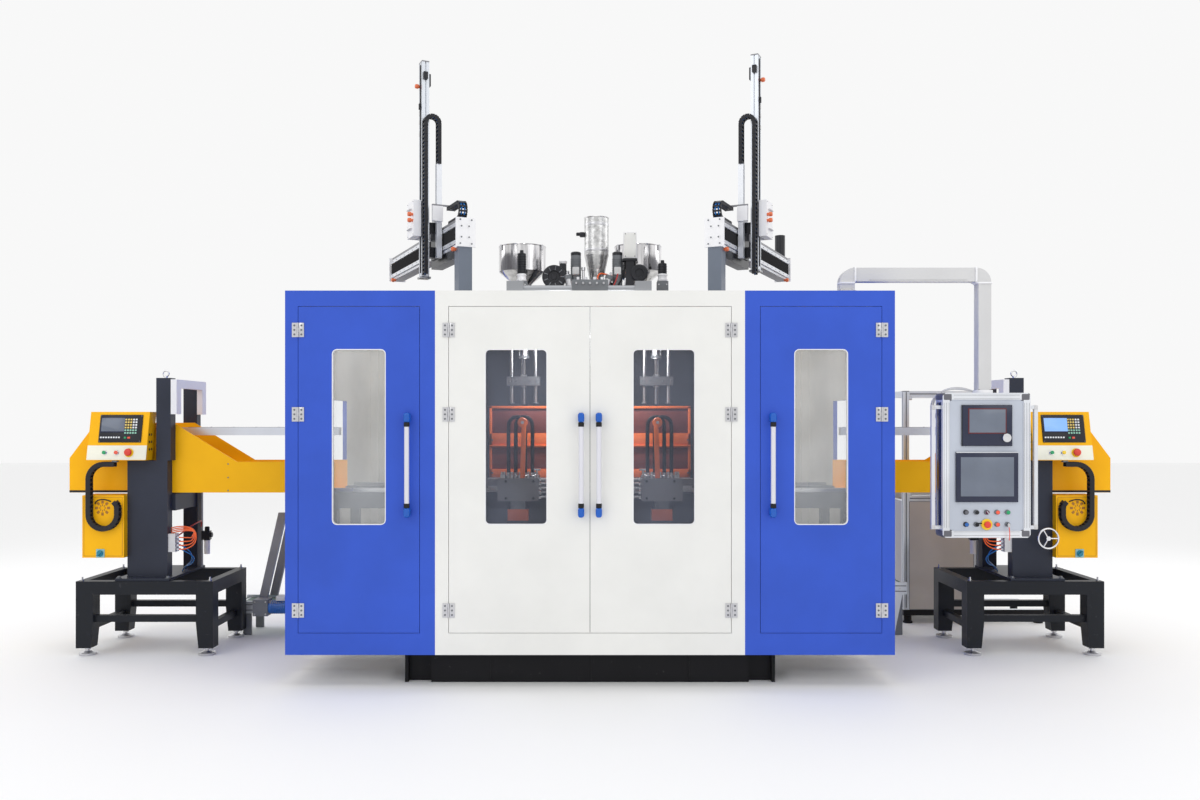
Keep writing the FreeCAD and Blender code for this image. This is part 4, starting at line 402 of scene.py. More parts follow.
def block(size, radius=0.002, steps=2):
    # a rounded block: half size less the radius by the sign of each direction, plus the radius along it
    half = np.array(size) / 2
    radius = min(radius, *(half * 0.98))
    quarter = np.linspace(0, math.pi / 2, steps + 1)
    turn = np.concatenate([quarter + k * math.pi / 2 for k in range(4)])
    signX = np.repeat([1, -1, -1, 1], steps + 1)
    signY = np.repeat([1, 1, -1, -1], steps + 1)
    rise = np.concatenate([quarter - math.pi / 2, quarter])
    signZ = np.repeat([-1, 1], steps + 1)[:, None] * np.ones_like(turn)
    flat = np.cos(rise)[:, None]
    core = half - radius
    x = signX * core[0] + radius * flat * np.cos(turn)
    y = signY * core[1] + radius * flat * np.sin(turn)
    z = signZ * core[2] + radius * np.sin(rise)[:, None]
    return gridShape(np.stack([x, y, z], -1))


def sweep(path, profile, across, closed=False):
    # a profile carried along a flat path:
    # path + u times across + v times (across turned by the path's direction)
    path, profile = np.array(path, float), np.array(profile, float)
    if closed:
        ahead = np.roll(path, -1, 0) - np.roll(path, 1, 0)
    else:
        ahead = np.gradient(path, axis=0)
    ahead /= np.linalg.norm(ahead, axis=1)[:, None]
    side = np.array(across, float) / np.linalg.norm(across)
    out = np.cross(ahead, side)
    rows = path[:, None] + profile[None, :, :1] * side + profile[None, :, 1:] * out[:, None]
    return gridShape(rows, closed=closed)


def moved(shape, place=(0, 0, 0), axes=None):
    # place + x, y and z times three axes; a mirrored set of axes turns the faces round
    points, quads, caps = shape
    if axes is not None:
        axes = np.array(axes, float)
        points = points @ axes
        if np.linalg.det(axes) < 0:
            quads, caps = quads[:, ::-1], [cap[::-1] for cap in caps]
    return points + np.array(place), quads, caps


def repeated(shape, places):
    # one copy of the shape at each place, as one array
    points, quads, caps = shape
    places = np.array(places, float).reshape(-1, 3)
    lift = np.arange(len(places)) * len(points)
    many = (points[None] + places[:, None]).reshape(-1, 3)
    return many, (quads[None] + lift[:, None, None]).reshape(-1, 4), [cap + k for k in lift for cap in caps]


def along(shape, places, axes):
    # one copy at each place, turned by its own three axes
    points, quads, caps = shape
    lift = np.arange(len(places)) * len(points)
    many = (np.einsum("pk,nkj->npj", points, axes) + places[:, None]).reshape(-1, 3)
    quads = (quads[None] + lift[:, None, None]).reshape(-1, 4)
    caps = [cap + k for k in lift for cap in caps]
    if np.linalg.det(axes[0]) < 0:
        quads, caps = quads[:, ::-1], [cap[::-1] for cap in caps]
    return many, quads, caps


def joined(*shapes):
    # several shapes as one, each one's numbers raised by the points before it
    starts = np.cumsum([0] + [len(shape[0]) for shape in shapes[:-1]])
    points = np.vstack([shape[0] for shape in shapes])
    quads = np.vstack([shape[1] + start for shape, start in zip(shapes, starts)])
    return points, quads, [cap + start for shape, start in zip(shapes, starts) for cap in shape[2]]


def mirrored(shape):
    # the same shape across the machine's middle
    return moved(shape, axes=((-1, 0, 0), (0, 1, 0), (0, 0, 1)))


def piece(name, body, layers, sharp=32, replaces=()):
    # layers of (finish, shape) as one mesh, each face with its own finish
    shapes = [shape for _, shape in layers]
    points, quads, caps = joined(*shapes)
    mesh = bpy.data.meshes.new(name)
    mesh.from_pydata(points.tolist(), [], quads.tolist() + [cap.tolist() for cap in caps])
    used = list(dict.fromkeys(look for look, _ in layers))
    for look in used:
        mesh.materials.append(finish(look))
    order = [used.index(look) for look, _ in layers]
    index = np.concatenate(
        [np.repeat(order, [len(s[1]) for s in shapes]), np.repeat(order, [len(s[2]) for s in shapes])]
    )
    mesh.polygons.foreach_set("material_index", index.astype(np.int32))
    mesh.shade_smooth()
    mesh.set_sharp_from_angle(angle=math.radians(sharp))
    mesh.update()
    made = bpy.data.objects.new(name, mesh)
    bpy.context.scene.collection.objects.link(made)
    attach(made, body)
    if replaces:
        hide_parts(*replaces)
    return made


def hose(name, body, route, diameter, look):
    # a smooth spline through the room between its route's points, with a round section
    curve = bpy.data.curves.new(name, "CURVE")
    curve.dimensions = "3D"
    line = curve.splines.new("NURBS")
    line.points.add(len(route) - 1)
    line.points.foreach_set("co", np.column_stack([route, np.ones(len(route))]).ravel())
    line.order_u = 3
    line.use_endpoint_u = True
    curve.resolution_u = 8
    made = bpy.data.objects.new(name, curve)
    bpy.context.scene.collection.objects.link(made)
    bare = bpy.data.meshes.new_from_object(made)
    dots = np.zeros(len(bare.vertices) * 3)
    bare.vertices.foreach_get("co", dots)
    bpy.data.meshes.remove(bare)
    curve.bevel_depth = diameter / 2
    curve.bevel_resolution = 3
    curve.use_fill_caps = True
    curve.materials.append(finish(look))
    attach(made, body)
    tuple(route[0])
    return made


towardsFront = ((1, 0, 0), (0, 0, 1), (0, -1, 0))  # a shape's own z looks out of the machine's front
towardsBack = ((-1, 0, 0), (0, 0, 1), (0, 1, 0))
towardsRight = ((0, 0, 1), (0, 1, 0), (1, 0, 0))
towardsLeft = ((0, 0, 1), (0, 1, 0), (-1, 0, 0))
lengthwise = ((1, 0, 0), (0, 0, -1), (0, 1, 0))


def screwHead(radius, height):
    # a socket cap: straight side, small chamfer, and a hollow in its top
    return lathe(
        [
            (radius, 0), (radius, 0.75 * height), (0.86 * radius, height), (0.5 * radius, height),
            (0.46 * radius, 0.45 * height)
        ],
        12
    )


def screwsAt(radius, height, places, axes=towardsFront):
    # one socket cap at each place, its top looking out of the front or along the given axes
    return repeated(moved(screwHead(radius, height), axes=axes), places)


def rounded(width, height, radius, steps=5):
    # the outline of a rounded oblong, once round
    turn = np.linspace(0, math.pi / 2, steps)
    turn = np.concatenate([turn + k * math.pi / 2 for k in range(4)])
    x = np.repeat([1, -1, -1, 1], steps) * (width / 2 - radius) + radius * np.cos(turn)
    z = np.repeat([1, 1, -1, -1], steps) * (height / 2 - radius) + radius * np.sin(turn)
    return np.stack([x, z], -1)

# ---- doors: window seals (on the blue doors a painted edge highlight), hinge screws and handle collars ----

door = {
    "windowHeight": (0.973, 2.023),
    "windowRadius": 0.028,
    "hingeHeights": (0.458, 1.634, 2.140),
    "screwRows": (-0.027, 0, 0.027),
    "screwOffset": 0.021,
    "leafFace": -1.1555,
    "handleHeights": (1.090, 1.573),
    "handleDepth": -1.2,
    "feetHeights": (1.049, 1.614),
    "edging": 0.0011,
}
doors = {
    "left_blue_door_set": {"window": (-1.546, -1.228), "hinge": -1.7515, "handle": -1.091, "leaf": 1},
    "left_white_door_set": {"window": (-0.629, -0.259), "hinge": -0.8485, "handle": -0.053, "leaf": 1},
    "right_blue_door_set": {"window": (1.228, 1.546), "hinge": 1.7515, "handle": 1.091, "leaf": -1},
    "right_white_door_set": {"window": (0.259, 0.629), "hinge": 0.8485, "handle": 0.053, "leaf": -1},
}


def ringProfile(width, height):
    # a small oblong section, once round
    return np.array([(-width, -height), (width, -height), (width, height), (-width, height)]) / 2


leafScrew = moved(screwHead(0.0062, 0.002), axes=towardsFront)
for body, spot in doors.items():
    left, right = spot["window"]
    low, high = door["windowHeight"]
    outline = rounded(right - left, high - low, door["windowRadius"] - 0.001)
    path = np.stack(
        [
            outline[:, 0] + (left + right) / 2, np.full(len(outline), -1.1392),
            outline[:, 1] + (low + high) / 2
        ],
        -1
    )
    # a pale rim round each window: a real gasket on the white doors, and on the blue doors a painted
    # highlight for the pane's lit cut edge
    sealAndEdgeHighlight = sweep(path, ringProfile(0.0236, 0.005), (0, 1, 0), closed=True)
    grip = lathe([(0.0168, -0.013), (0.0175, -0.009), (0.0175, 0.009), (0.0168, 0.013)], 24)
    grips = repeated(grip, [(spot["handle"], door["handleDepth"], z) for z in door["handleHeights"]])
    screws = [
        (spot["hinge"] + spot["leaf"] * door["screwOffset"], door["leafFace"], z + row)
        for z in door["hingeHeights"]
        for row in door["screwRows"]
    ]
    if "white" in body:
        edging = block((0.0014, 0.018, 1.954), 0.0004, 1)
        grips = joined(grips, moved(edging, (-spot["leaf"] * door["edging"], -1.1385, 1.3015)))
    piece(
        body.replace("_set", "_trim"), body,
        [("enamel", sealAndEdgeHighlight), ("rubberBlack", grips), ("machineryGrey", repeated(leafScrew, screws))]
    )
    low, high = door["feetHeights"]
    feet = repeated(
        block((0.038, 0.0675, 0.06), 0.015, 6),
        [(spot["handle"], -1.18425, low), (spot["handle"], -1.18425, high)]
    )
    bar = moved(
        lathe([(0.0149, low + 0.028), (0.0149, high - 0.028)], 32), (spot["handle"], door["handleDepth"], 0)
    )
    leaf = block((0.030, 0.0048, 0.086), 0.001)
    tab = block((0.0036, 0.0048, 0.0276), 0.0005)
    knuckle = lathe([(0.0035, -0.0138), (0.0058, -0.0134), (0.0058, 0.0134), (0.0035, 0.0138)], 16)
    leaves = repeated(
        leaf, [(spot["hinge"] + spot["leaf"] * 0.022, -1.1529, z) for z in door["hingeHeights"]]
    )
    tabs = repeated(
        tab, [(spot["hinge"] + spot["leaf"] * 0.0059, -1.1529, z) for z in door["hingeHeights"]]
    )
    knuckles = repeated(knuckle, [(spot["hinge"], -1.156, z) for z in door["hingeHeights"]])
    handleParts = [("capBlue", feet), ("barSilver", bar), ("brightSteel", joined(leaves, tabs, knuckles))]
    piece(body.replace("_set", "_handle"), body, handleParts, replaces=[body.replace("_set", "_fittings")])
frameScrews = [
    (spot["hinge"] - spot["leaf"] * door["screwOffset"], door["leafFace"], z + row)
    for spot in doors.values()
    for z in door["hingeHeights"]
    for row in door["screwRows"]
]
piece("hinge_frame_screws", "machine", [("machineryGrey", repeated(leafScrew, frameScrews))])
print("doors trimmed")

# ---- energy chains ----


def arc(u, v, radius, start, end, steps=16):
    # points round a centre, from one angle to another in degrees
    turn = np.radians(np.linspace(start, end, steps))
    return np.stack([u + radius * np.cos(turn), v + radius * np.sin(turn)], -1)


def spaced(path, pitch):
    # places at equal steps of length along a path, with the direction there
    lengths = np.concatenate([[0], np.cumsum(np.linalg.norm(np.diff(path, axis=0), axis=1))])
    count = int(lengths[-1] / pitch)
    stops = (np.arange(count) + 0.5) * lengths[-1] / count
    places = np.stack([np.interp(stops, lengths, path[:, k]) for k in range(2)], -1)
    ahead = np.stack([np.interp(stops + pitch / 2, lengths, path[:, k]) for k in range(2)], -1)
    behind = np.stack([np.interp(stops - pitch / 2, lengths, path[:, k]) for k in range(2)], -1)
    direction = ahead - behind
    return places, direction / np.linalg.norm(direction, axis=1)[:, None]


def chainLinks(path, width, thickness, pitch):
    # a link at each stop of the path in the xz plane: two side plates, and a bar over and under
    places, direction = spaced(path, pitch)
    zero = np.zeros(len(places))
    place = np.stack([places[:, 0], zero, places[:, 1]], -1)
    ahead = np.stack([direction[:, 0], zero, direction[:, 1]], -1)
    side = np.tile([0.0, 1.0, 0.0], (len(places), 1))
    axes = np.stack([ahead, side, np.cross(ahead, side)], 1)
    plate = block((pitch * 1.12, 0.005, thickness), 0.003, 1)
    bar = block((pitch * 0.44, width - 0.006, 0.0035), 0.001, 1)
    edge, lift = width / 2 - 0.0025, thickness / 2 - 0.0025
    link = joined(
        moved(plate, (0, edge, 0)), moved(plate, (0, -edge, 0)), moved(bar, (0, 0, lift)),
        moved(bar, (0, 0, -lift))
    )
    return along(link, place, axes)


def chainHoses(path, spots, size):
    # round tubes carried along the chain's line, one at each place across it
    turn = np.linspace(0, 2 * math.pi, 8, endpoint=False)
    section = np.stack([np.cos(turn), np.sin(turn)], -1) * size / 2
    line = np.stack([path[:, 0], np.zeros(len(path)), path[:, 1]], -1)
    return joined(*[sweep(line, section + (spot, 0), (0, 1, 0)) for spot in spots])


# ---- take-out robots ----

robot = {
    "tilt": math.radians(24.8), "root": (0.794, -0.75), "pitch": 0.027, "chain": (0.056, 0.026),
    "armChainPlace": 0.3545, "armChainLines": (0.077, 0.169), "armChainTop": 3.578,
    "armSpan": (2.56, 4.002), "armPlace": (0.42, 0.158), "armSize": (0.075, 0.05), "beamLength": 1.803,
    "endScrews": (
        (-0.034, 2.727), (0.042, 2.727), (-0.016, 2.768), (0.034, 2.768), (-0.016, 2.838), (0.034, 2.838),
        (-0.034, 2.879), (0.042, 2.879)
    ),
}


def slotted(width, height, slots, mouth=0.008, depth=0.009):
    # the outline of an extruded bar, once round, with open grooves
    # at the given places along its wide sides and mid short sides
    def side(length, places):
        marks = [(-length / 2, 0)]
        for spot in places:
            marks += [
                (spot - mouth / 2, 0), (spot - mouth / 2, depth), (spot + mouth / 2, depth),
                (spot + mouth / 2, 0)
            ]
        return np.array(marks)

    bottom, right = side(width, slots), side(height, (0,))
    a = np.stack([bottom[:, 0], -height / 2 + bottom[:, 1]], -1)
    b = np.stack([width / 2 - right[:, 1], right[:, 0]], -1)
    return np.concatenate([a, b, -a, -b])


armChain = np.concatenate(
    [
        [(robot["armChainLines"][0], 3.31)],
        [(robot["armChainLines"][0], robot["armChainTop"])],
        arc(0.123, robot["armChainTop"], 0.046, 180, 0)[1:],
        [(robot["armChainLines"][1], 2.57)],
    ]
)
beamChain = np.concatenate([[(0.336, 3.012)], arc(0.112, 2.9605, 0.0515, 90, 270), [(0.3, 2.909)]])
for side, sign, rise in (("left", -1, 0.0), ("right", 1, 0.045)):
    sine, cosine = math.sin(robot["tilt"]), math.cos(robot["tilt"])
    forth, out, up = (sign * sine, cosine, 0), (sign * cosine, -sine, 0), (0, 0, 1)
    root = (sign * robot["root"][0], robot["root"][1], 0)
    beamAxes = np.array((forth, out, up))

    def onBeam(shape):
        return moved(shape, root, beamAxes)

    facingNear = ((0, 1, 0), (0, 0, 1), (-1, 0, 0))
    facingOut = ((1, 0, 0), (0, 0, 1), (0, 1, 0))
    lengths = np.arange(0.004, robot["beamLength"] - 0.004, 0.006)
    fold = 0.0425 + 0.0065 * (np.arange(len(lengths)) % 2)
    near, top = np.full(len(lengths), 0.0395), np.full(len(lengths), 2.842)
    bellows = gridShape(
        np.stack(
            [
                np.stack([lengths, near, top - 0.078], -1),
                np.stack([lengths, fold, top - 0.078], -1),
                np.stack([lengths, fold, top], -1),
                np.stack([lengths, near, top], -1),
            ],
            1,
        )
    )
    nearScrews = screwsAt(0.0055, 0.004, [(-0.0145, o, z) for o, z in robot["endScrews"]], facingNear)
    railStops = [(s, 0.0535, z) for z in (2.7475, 2.8585) for s in np.arange(0.05, 1.78, 0.12)]
    railScrews = screwsAt(0.004, 0.0012, railStops, facingOut)
    cap = lathe([(0.010, 0), (0.010, 0.012), (0.015, 0.014), (0.015, 0.03), (0.011, 0.036)], 16)
    caps = joined(
        moved(cap, (0.07, 0.04, 2.7), facingOut),
        moved(cap, (1.68, 0.04, 2.705), facingOut),
    )
    strip = block((1.70, 0.004, 0.018), 0.001)
    foot = repeated(
        screwHead(0.009, 0.007), [(0.056 + a * 0.07, b * 0.07, 2.389) for a in (-1, 1) for b in (-1, 1)]
    )
    gusset = block((0.09, 0.012, 0.05), 0.003)
    piece(
        f"{side}_beam_trim",
        "machine",
        [
            ("rubberBlack", onBeam(bellows)),
            ("machineryGrey", onBeam(nearScrews)),
            ("machineryGrey", onBeam(railScrews)),
            ("fittingOrange", onBeam(caps)),
            ("railWhite", onBeam(moved(strip, (0.9, 0.0415, 2.722)))),
            ("brightSteel", onBeam(foot)),
            ("controlBlack", onBeam(moved(gusset, (0.15, 0.0, 2.629)))),
        ],
    )
    acrossOut = ((0, 1, 0), (1, 0, 0), (0, 0, 1))
    armLinks = moved(
        chainLinks(armChain, *robot["chain"], robot["pitch"]), (robot["armChainPlace"], 0, 0), acrossOut
    )
    armTubes = moved(
        chainHoses(armChain, (-0.014, 0.002), 0.012), (robot["armChainPlace"], 0, 0), acrossOut
    )
    airTube = moved(chainHoses(armChain, (0.016,), 0.008), (robot["armChainPlace"], 0, 0), acrossOut)
    beamLinks = chainLinks(beamChain, *robot["chain"], robot["pitch"])
    beamTubes = chainHoses(beamChain, (-0.012, 0.01), 0.012)
    piece(
        f"{side}_chain_links",
        f"{side}_robot_slide",
        [
            ("chainBlack", onBeam(armLinks)),
            ("tubeBlue", onBeam(armTubes)),
            ("rubberBlack", onBeam(airTube)),
            ("chainBlack", onBeam(beamLinks)),
            ("tubeBlue", onBeam(beamTubes)),
        ],
        replaces=(f"{side}_robot_chain",),
    )
    low, high = robot["armSpan"][0] + rise, robot["armSpan"][1] + rise
    s, o = robot["armPlace"]
    bar = sweep([(s, o, low), (s, o, high - 0.008)], slotted(*robot["armSize"], (-0.019, 0.019)), (1, 0, 0))
    cover = moved(block((0.077, 0.052, 0.009), 0.002), (s, o, high - 0.0045))
    belt = moved(block((0.028, 0.0025, high - low - 0.05), 0.0008), (s, o + 0.0262, (low + high) / 2))
    ticks = repeated(
        block((0.004, 0.001, 0.010), 0.0003, 1),
        [(s + 0.031, o - 0.0254, z) for z in np.arange(low + 0.1, high - 0.1, 0.3)]
    )
    foot = moved(block((0.075, 0.075, 0.014), 0.003), (s, o, low - 0.007))
    motor = moved(block((0.036, 0.0175, 0.084), 0.004), (s, 0.12425, 3.882 + rise))
    shoulder = moved(block((0.02, 0.03, 0.05), 0.004), (s - 0.046, o + 0.002, 3.90 + rise))
    knob = moved(cap, (s + 0.02, o + 0.021, 3.84 + rise), facingOut)
    sensor = moved(block((0.016, 0.012, 0.04), 0.002), (s, o + 0.031, 3.70 + rise))
    joints = repeated(
        block((0.014, 0.006, 0.03), 0.002), [(s + 0.016, o + 0.0275, z + rise) for z in (3.52, 3.60, 3.66)]
    )
    piece(
        f"{side}_arm_bar",
        f"{side}_robot_lift",
        [
            ("anodised", onBeam(bar)),
            ("plateGrey", onBeam(cover)),
            ("rubberBlack", onBeam(belt)),
            ("controlBlack", onBeam(ticks)),
            ("mouldSteel", onBeam(foot)),
            ("controlBlack", onBeam(motor)),
            ("controlBlack", onBeam(shoulder)),
            ("fittingOrange", onBeam(knob)),
            ("controlBlack", onBeam(sensor)),
            ("lightGrey", onBeam(joints)),
        ],
        replaces=(f"{side}_robot_arm",),
    )
    plugs = repeated(moved(cap, axes=facingOut), [(0.40, 0.2405, z) for z in (2.93, 2.97)])
    ports = repeated(
        moved(lathe([(0.006, 0), (0.006, 0.008), (0.0045, 0.009), (0.0045, 0.014)], 12), axes=facingOut),
        [(0.44 + 0.022 * k, 0.241, z) for k in range(4) for z in (2.88, 3.01)]
    )
    lidScrews = screwsAt(
        0.0035, 0.002, [(0.3935 + 0.135 * a, 0.2408, 2.838 + 0.216 * b) for a in (0, 1) for b in (0, 1)],
        facingOut
    )
    dress(
        f"{side}_robot_carriage",
        "enamel",
        (
            ("controlBlack", (0.99, 1.11), anywhere, (2.68, 2.9249)),
            ("plateGrey", (0.9, 1.06), (-0.52, -0.43), (3.024, 3.04)),
            ("railWhite", (0.988, 1.037), (-0.485, -0.4369), (2.68, 3.32)),
            ("enamel", (1.08, 1.25), anywhere, (2.82, 3.07)),
        ),
    )
    piece(
        f"{side}_slide_trim", f"{side}_robot_slide",
        [
            ("fittingOrange", onBeam(plugs)), ("brightSteel", onBeam(ports)),
            ("machineryGrey", onBeam(lidScrews))
        ],
    )
dress(
    "robot_gantries",
    "plateGrey",
    (
        ("columnGrey", (0.69, 0.94), (-0.83, -0.57), (2.37, 2.6505)),
        ("controlBlack", (0.79, 1.12), anywhere, (2.6495, 2.7095)),
        ("enamel", (0.73, 0.863), (-0.78, -0.70), (2.7096, 2.8965)),
        ("enamel", (1.48, 1.612), (0.84, 0.92), (2.7096, 2.8965)),
        ("railWhite", (0.83, 1.6), (-0.76, 0.86), (2.7345, 2.7605)),
        ("railWhite", (0.83, 1.6), (-0.76, 0.86), (2.8455, 2.8715)),
        ("controlBlack", (1.46, 1.56), (0.75, 0.85), (2.8965, 3.07)),
    ),
)
print("robots made")

# ---- outfeed stations ----

station = {
    "console": (3.2185, -0.36, 1.326),
    "lean": (0.067, 0.33),
    "stripHeight": 0.104,
    "display": (0.291, 0.192),
    "screen": (0.158, 0.092),
    "displayPlace": (0.014, 0.219),
    "keyStep": (0.0178, 0.0186),
    "buttonRow": (-0.081, 0.0, 0.085),
    "headScrews": ((2.519, 1.294), (2.519, 1.2), (2.519, 1.109)),
    "headFront": -0.1895,
    "cabinetFront": -0.3205,
    "vent": (3.329, 0.999),
    "switch": (3.343, 0.69),
    "conduitDepth": -0.342,
    "conduitPitch": 0.03,
    "feet": ((3.429, -0.32), (3.429, 0.24), (2.615, -0.32), (2.615, 0.24)),
}
slope = np.array(station["lean"]) / np.linalg.norm(station["lean"])
consoleAxes = ((1, 0, 0), (0, slope[0], slope[1]), (0, -slope[1], slope[0]))
conduit = np.concatenate(
    [
        [(-3.232, 1.299)],
        arc(-3.305, 1.195, 0.104, 90, 180)[1:],
        arc(-3.312, 0.957, 0.097, 180, 360, 24),
        [(-3.215, 0.975)],
        arc(-3.262, 1.0, 0.047, 0, 60, 8),
    ]
)
for side, sign in (("left", -1), ("right", 1)):
    head = f"{side}_outfeed_head"
    lamp, screen = (("lampRed", "screenGrey"), ("lampYellow", "screenBlue"))[sign > 0]
    consolePlace = (sign * station["console"][0], *station["console"][1:])

    def onConsole(shape, u=0.0, v=0.0):
        return moved(moved(shape, (u, v, 0)), consolePlace, consoleAxes)

    u, v = station["displayPlace"]
    width, height = station["display"]
    columns, rows = station["keyStep"]
    pad = [(0.034 + columns * a, 0.062 - rows * b, 0.008) for a in range(5) for b in range(6)]
    isYellow = [k < 18 and k % 6 < 4 for k in range(30)]
    isGreen = [k % 6 >= 4 for k in range(30)]
    key = block((0.0125, 0.0115, 0.004), 0.0015, 1)
    screws = repeated(
        screwHead(0.004, 0.003),
        [(a * (width / 2 - 0.008), b * (height / 2 - 0.008), 0.006) for a in (-1, 1) for b in (-1, 1)]
    )
    collar = lathe([(0.017, 0), (0.017, 0.004), (0.0145, 0.007), (0.0145, 0.012)], 24)
    cap = lathe([(0.0128, 0), (0.0128, 0.017), (0.0105, 0.0195), (0.0001, 0.02)], 24)
    mushroom = lathe(
        [
            (0.012, 0), (0.012, 0.012), (0.024, 0.016), (0.0255, 0.024), (0.022, 0.031), (0.012, 0.0345),
            (0.0001, 0.0355)
        ],
        28
    )
    spots = station["buttonRow"]
    piece(
        f"{side}_console_controls", head,
        [
            ("controlBlack", onConsole(block((width, height, 0.014), 0.003), u, v)),
            (
                "bezelNavy",
                onConsole(moved(block((0.172, 0.108, 0.004), 0.002), (-0.052, 0.026, 0.0075)), u, v)
            ),
            (
                screen,
                onConsole(moved(block((*station["screen"], 0.002), 0.0008), (-0.052, 0.026, 0.0095)), u, v)
            ),
            (
                "keyWhite",
                onConsole(
                    repeated(
                        block((0.0125, 0.0105, 0.004), 0.0015, 1),
                        [(-0.128 + 0.0176 * k, -0.062, 0.008) for k in range(8)]
                    ),
                    u, v
                )
            ),
            ("keyYellow", onConsole(repeated(key, [p for p, on in zip(pad, isYellow) if on]), u, v)),
            ("keyGreen", onConsole(repeated(key, [p for p, on in zip(pad, isGreen) if on]), u, v)),
            (
                "keyWhite",
                onConsole(
                    repeated(key, [p for p, a, b in zip(pad, isYellow, isGreen) if not a and not b]), u, v
                )
            ),
            (
                "lampGreen",
                onConsole(moved(block((0.016, 0.013, 0.004), 0.002, 1), (0.036, -0.064, 0.008)), u, v)
            ),
            (
                "lampRed",
                onConsole(moved(block((0.020, 0.013, 0.004), 0.002, 1), (0.062, -0.064, 0.008)), u, v)
            ),
            ("machineryGrey", onConsole(screws, u, v)),
            (
                "stripCream",
                onConsole(
                    block((0.404, station["stripHeight"] - 0.004, 0.005), 0.002), 0,
                    station["stripHeight"] / 2 + 0.001
                )
            ),
            ("chrome", onConsole(repeated(collar, [(spot, 0.052, 0.001) for spot in spots[:2]]))),
            ("lampGreen", onConsole(cap, spots[0], 0.052)), (lamp, onConsole(cap, spots[1], 0.052)),
            (
                "lampYellow",
                onConsole(
                    lathe([(0.031, 0), (0.031, 0.0045), (0.028, 0.0065), (0.012, 0.0065)], 32), spots[2],
                    0.052
                )
            ),
            ("stopRed", onConsole(mushroom, spots[2], 0.052)),
        ],
    )
    headScrews = screwsAt(
        0.005, 0.002, [(sign * x, station["headFront"], z) for x, z in station["headScrews"]]
    )
    strip = moved(block((0.44, 0.003, 0.015), 0.001), (sign * 3.403, -0.1895, 1.1035))
    sideScrews = [(sign * 3.0165, -0.305 + 0.035 * a, 1.40 + 0.05 * b) for a in (0, 1) for b in (0, 1, 2)]
    vents = repeated(
        moved(
            lathe([(0.009, 0), (0.009, 0.0014), (0.006, 0.002), (0.006, 0.0006)], 14),
            axes=((0, 0, 1), (0, 1, 0), (-sign, 0, 0))
        ),
        sideScrews
    )
    railBolts = repeated(
        screwHead(0.006, 0.004), [(sign * x, -0.019, 1.5478) for x in np.arange(1.9, 2.86, 0.16)]
    )
    beltStrip = moved(block((1.06, 0.034, 0.002), 0.0008), (sign * 2.33, -0.019, 1.5485))
    piece(
        f"{side}_head_trim", head,
        [
            ("machineryGrey", headScrews), ("controlBlack", strip), ("controlBlack", vents),
            ("rubberBlack", beltStrip), ("brightSteel", railBolts)
        ],
    )
    x, z = sign * station["vent"][0], station["vent"][1]
    turns = np.arange(8) * math.pi / 4
    radial = np.stack([np.sin(turns), np.zeros(8), np.cos(turns)], -1)
    tangent = np.stack([np.cos(turns), np.zeros(8), -np.sin(turns)], -1)
    outward = np.tile([0.0, -1.0, 0.0], (8, 1))
    petals = along(
        block((0.017, 0.021, 0.002), 0.004, 2), np.array([x, station["cabinetFront"], z]) + radial * 0.041,
        np.stack([tangent, radial, outward], 1)
    )
    slots = along(
        block((0.007, 0.012, 0.002), 0.002, 1), np.array([x, station["cabinetFront"], z]) + radial * 0.019,
        np.stack([tangent, radial, outward], 1)
    )
    x, z = sign * station["switch"][0], station["switch"][1]
    turned = moved(block((0.046, 0.014, 0.02), 0.005), axes=((0.7, 0, 0.7), (-0.7, 0, 0.7), (0, -1, 0)))
    doorLine = rounded(0.262, 0.402, 0.006)
    doorPath = np.stack(
        [doorLine[:, 0] + sign * 3.3255, np.full(len(doorLine), -0.3203), doorLine[:, 1] + 0.872], -1
    )
    piece(
        f"{side}_cabinet_trim", "machine",
        [
            ("ventOrange", petals), ("ventOrange", slots),
            ("ventOrange", sweep(doorPath, ringProfile(0.0012, 0.0025), (0, 1, 0), closed=True)),
            ("tealPlate", moved(block((0.058, 0.006, 0.058), 0.003), (x, -0.3225, z))),
            (
                "tealKnob",
                moved(lathe([(0.022, 0), (0.022, 0.006), (0.019, 0.009)], 24), (x, -0.325, z), towardsFront)
            ),
            ("tealKnob", moved(turned, (x, -0.338, z))),
        ],
    )
    links = moved(
        chainLinks(conduit, 0.044, 0.034, station["conduitPitch"]), (0, station["conduitDepth"], 0)
    )
    tubes = moved(chainHoses(conduit, (-0.01, 0.008), 0.013), (0, station["conduitDepth"], 0))
    clip = moved(block((0.034, 0.034, 0.012), 0.003), (-3.232, -0.343, 1.319))
    layers = [("chainBlack", links), ("rubberBlack", tubes), ("machineryGrey", clip)]
    if sign > 0:
        layers = [(look, mirrored(shape)) for look, shape in layers]
    piece(f"{side}_conduit_links", "machine", layers, replaces=("station_conduits",) if sign < 0 else ())
    feet = joined(
        repeated(
            lathe(
                [
                    (0.057, 0.0), (0.0572, 0.011), (0.054, 0.0145), (0.03, 0.019), (0.022, 0.026),
                    (0.0135, 0.027)
                ],
                28
            ),
            [(sign * x, y, 0) for x, y in station["feet"]]
        ),
        repeated(
            lathe([(0.021, 0), (0.021, 0.014)], 6), [(sign * x, y, 0.037) for x, y in station["feet"]]
        ),
    )
    corners = repeated(
        lathe([(0.011, 0), (0.011, 0.008), (0.0065, 0.008), (0.0065, 0.026)], 6),
        [(sign * a, b, 0.505) for a in (2.587, 3.457) for b in (-0.34, 0.26)]
    )
    boltPlaces = [(sign * a, b, 0.522) for a in (2.879, 3.212) for b in (-0.33, -0.02, 0.264)]
    bolts = repeated(
        joined(
            lathe([(0.017, 0), (0.017, 0.003)], 20),
            moved(lathe([(0.012, 0), (0.0115, 0.010)], 6), (0, 0, 0.003))
        ),
        boltPlaces
    )
    welds = moved(block((0.279, 0.006, 0.008), 0.003), (sign * 3.0455, -0.271, 0.525))
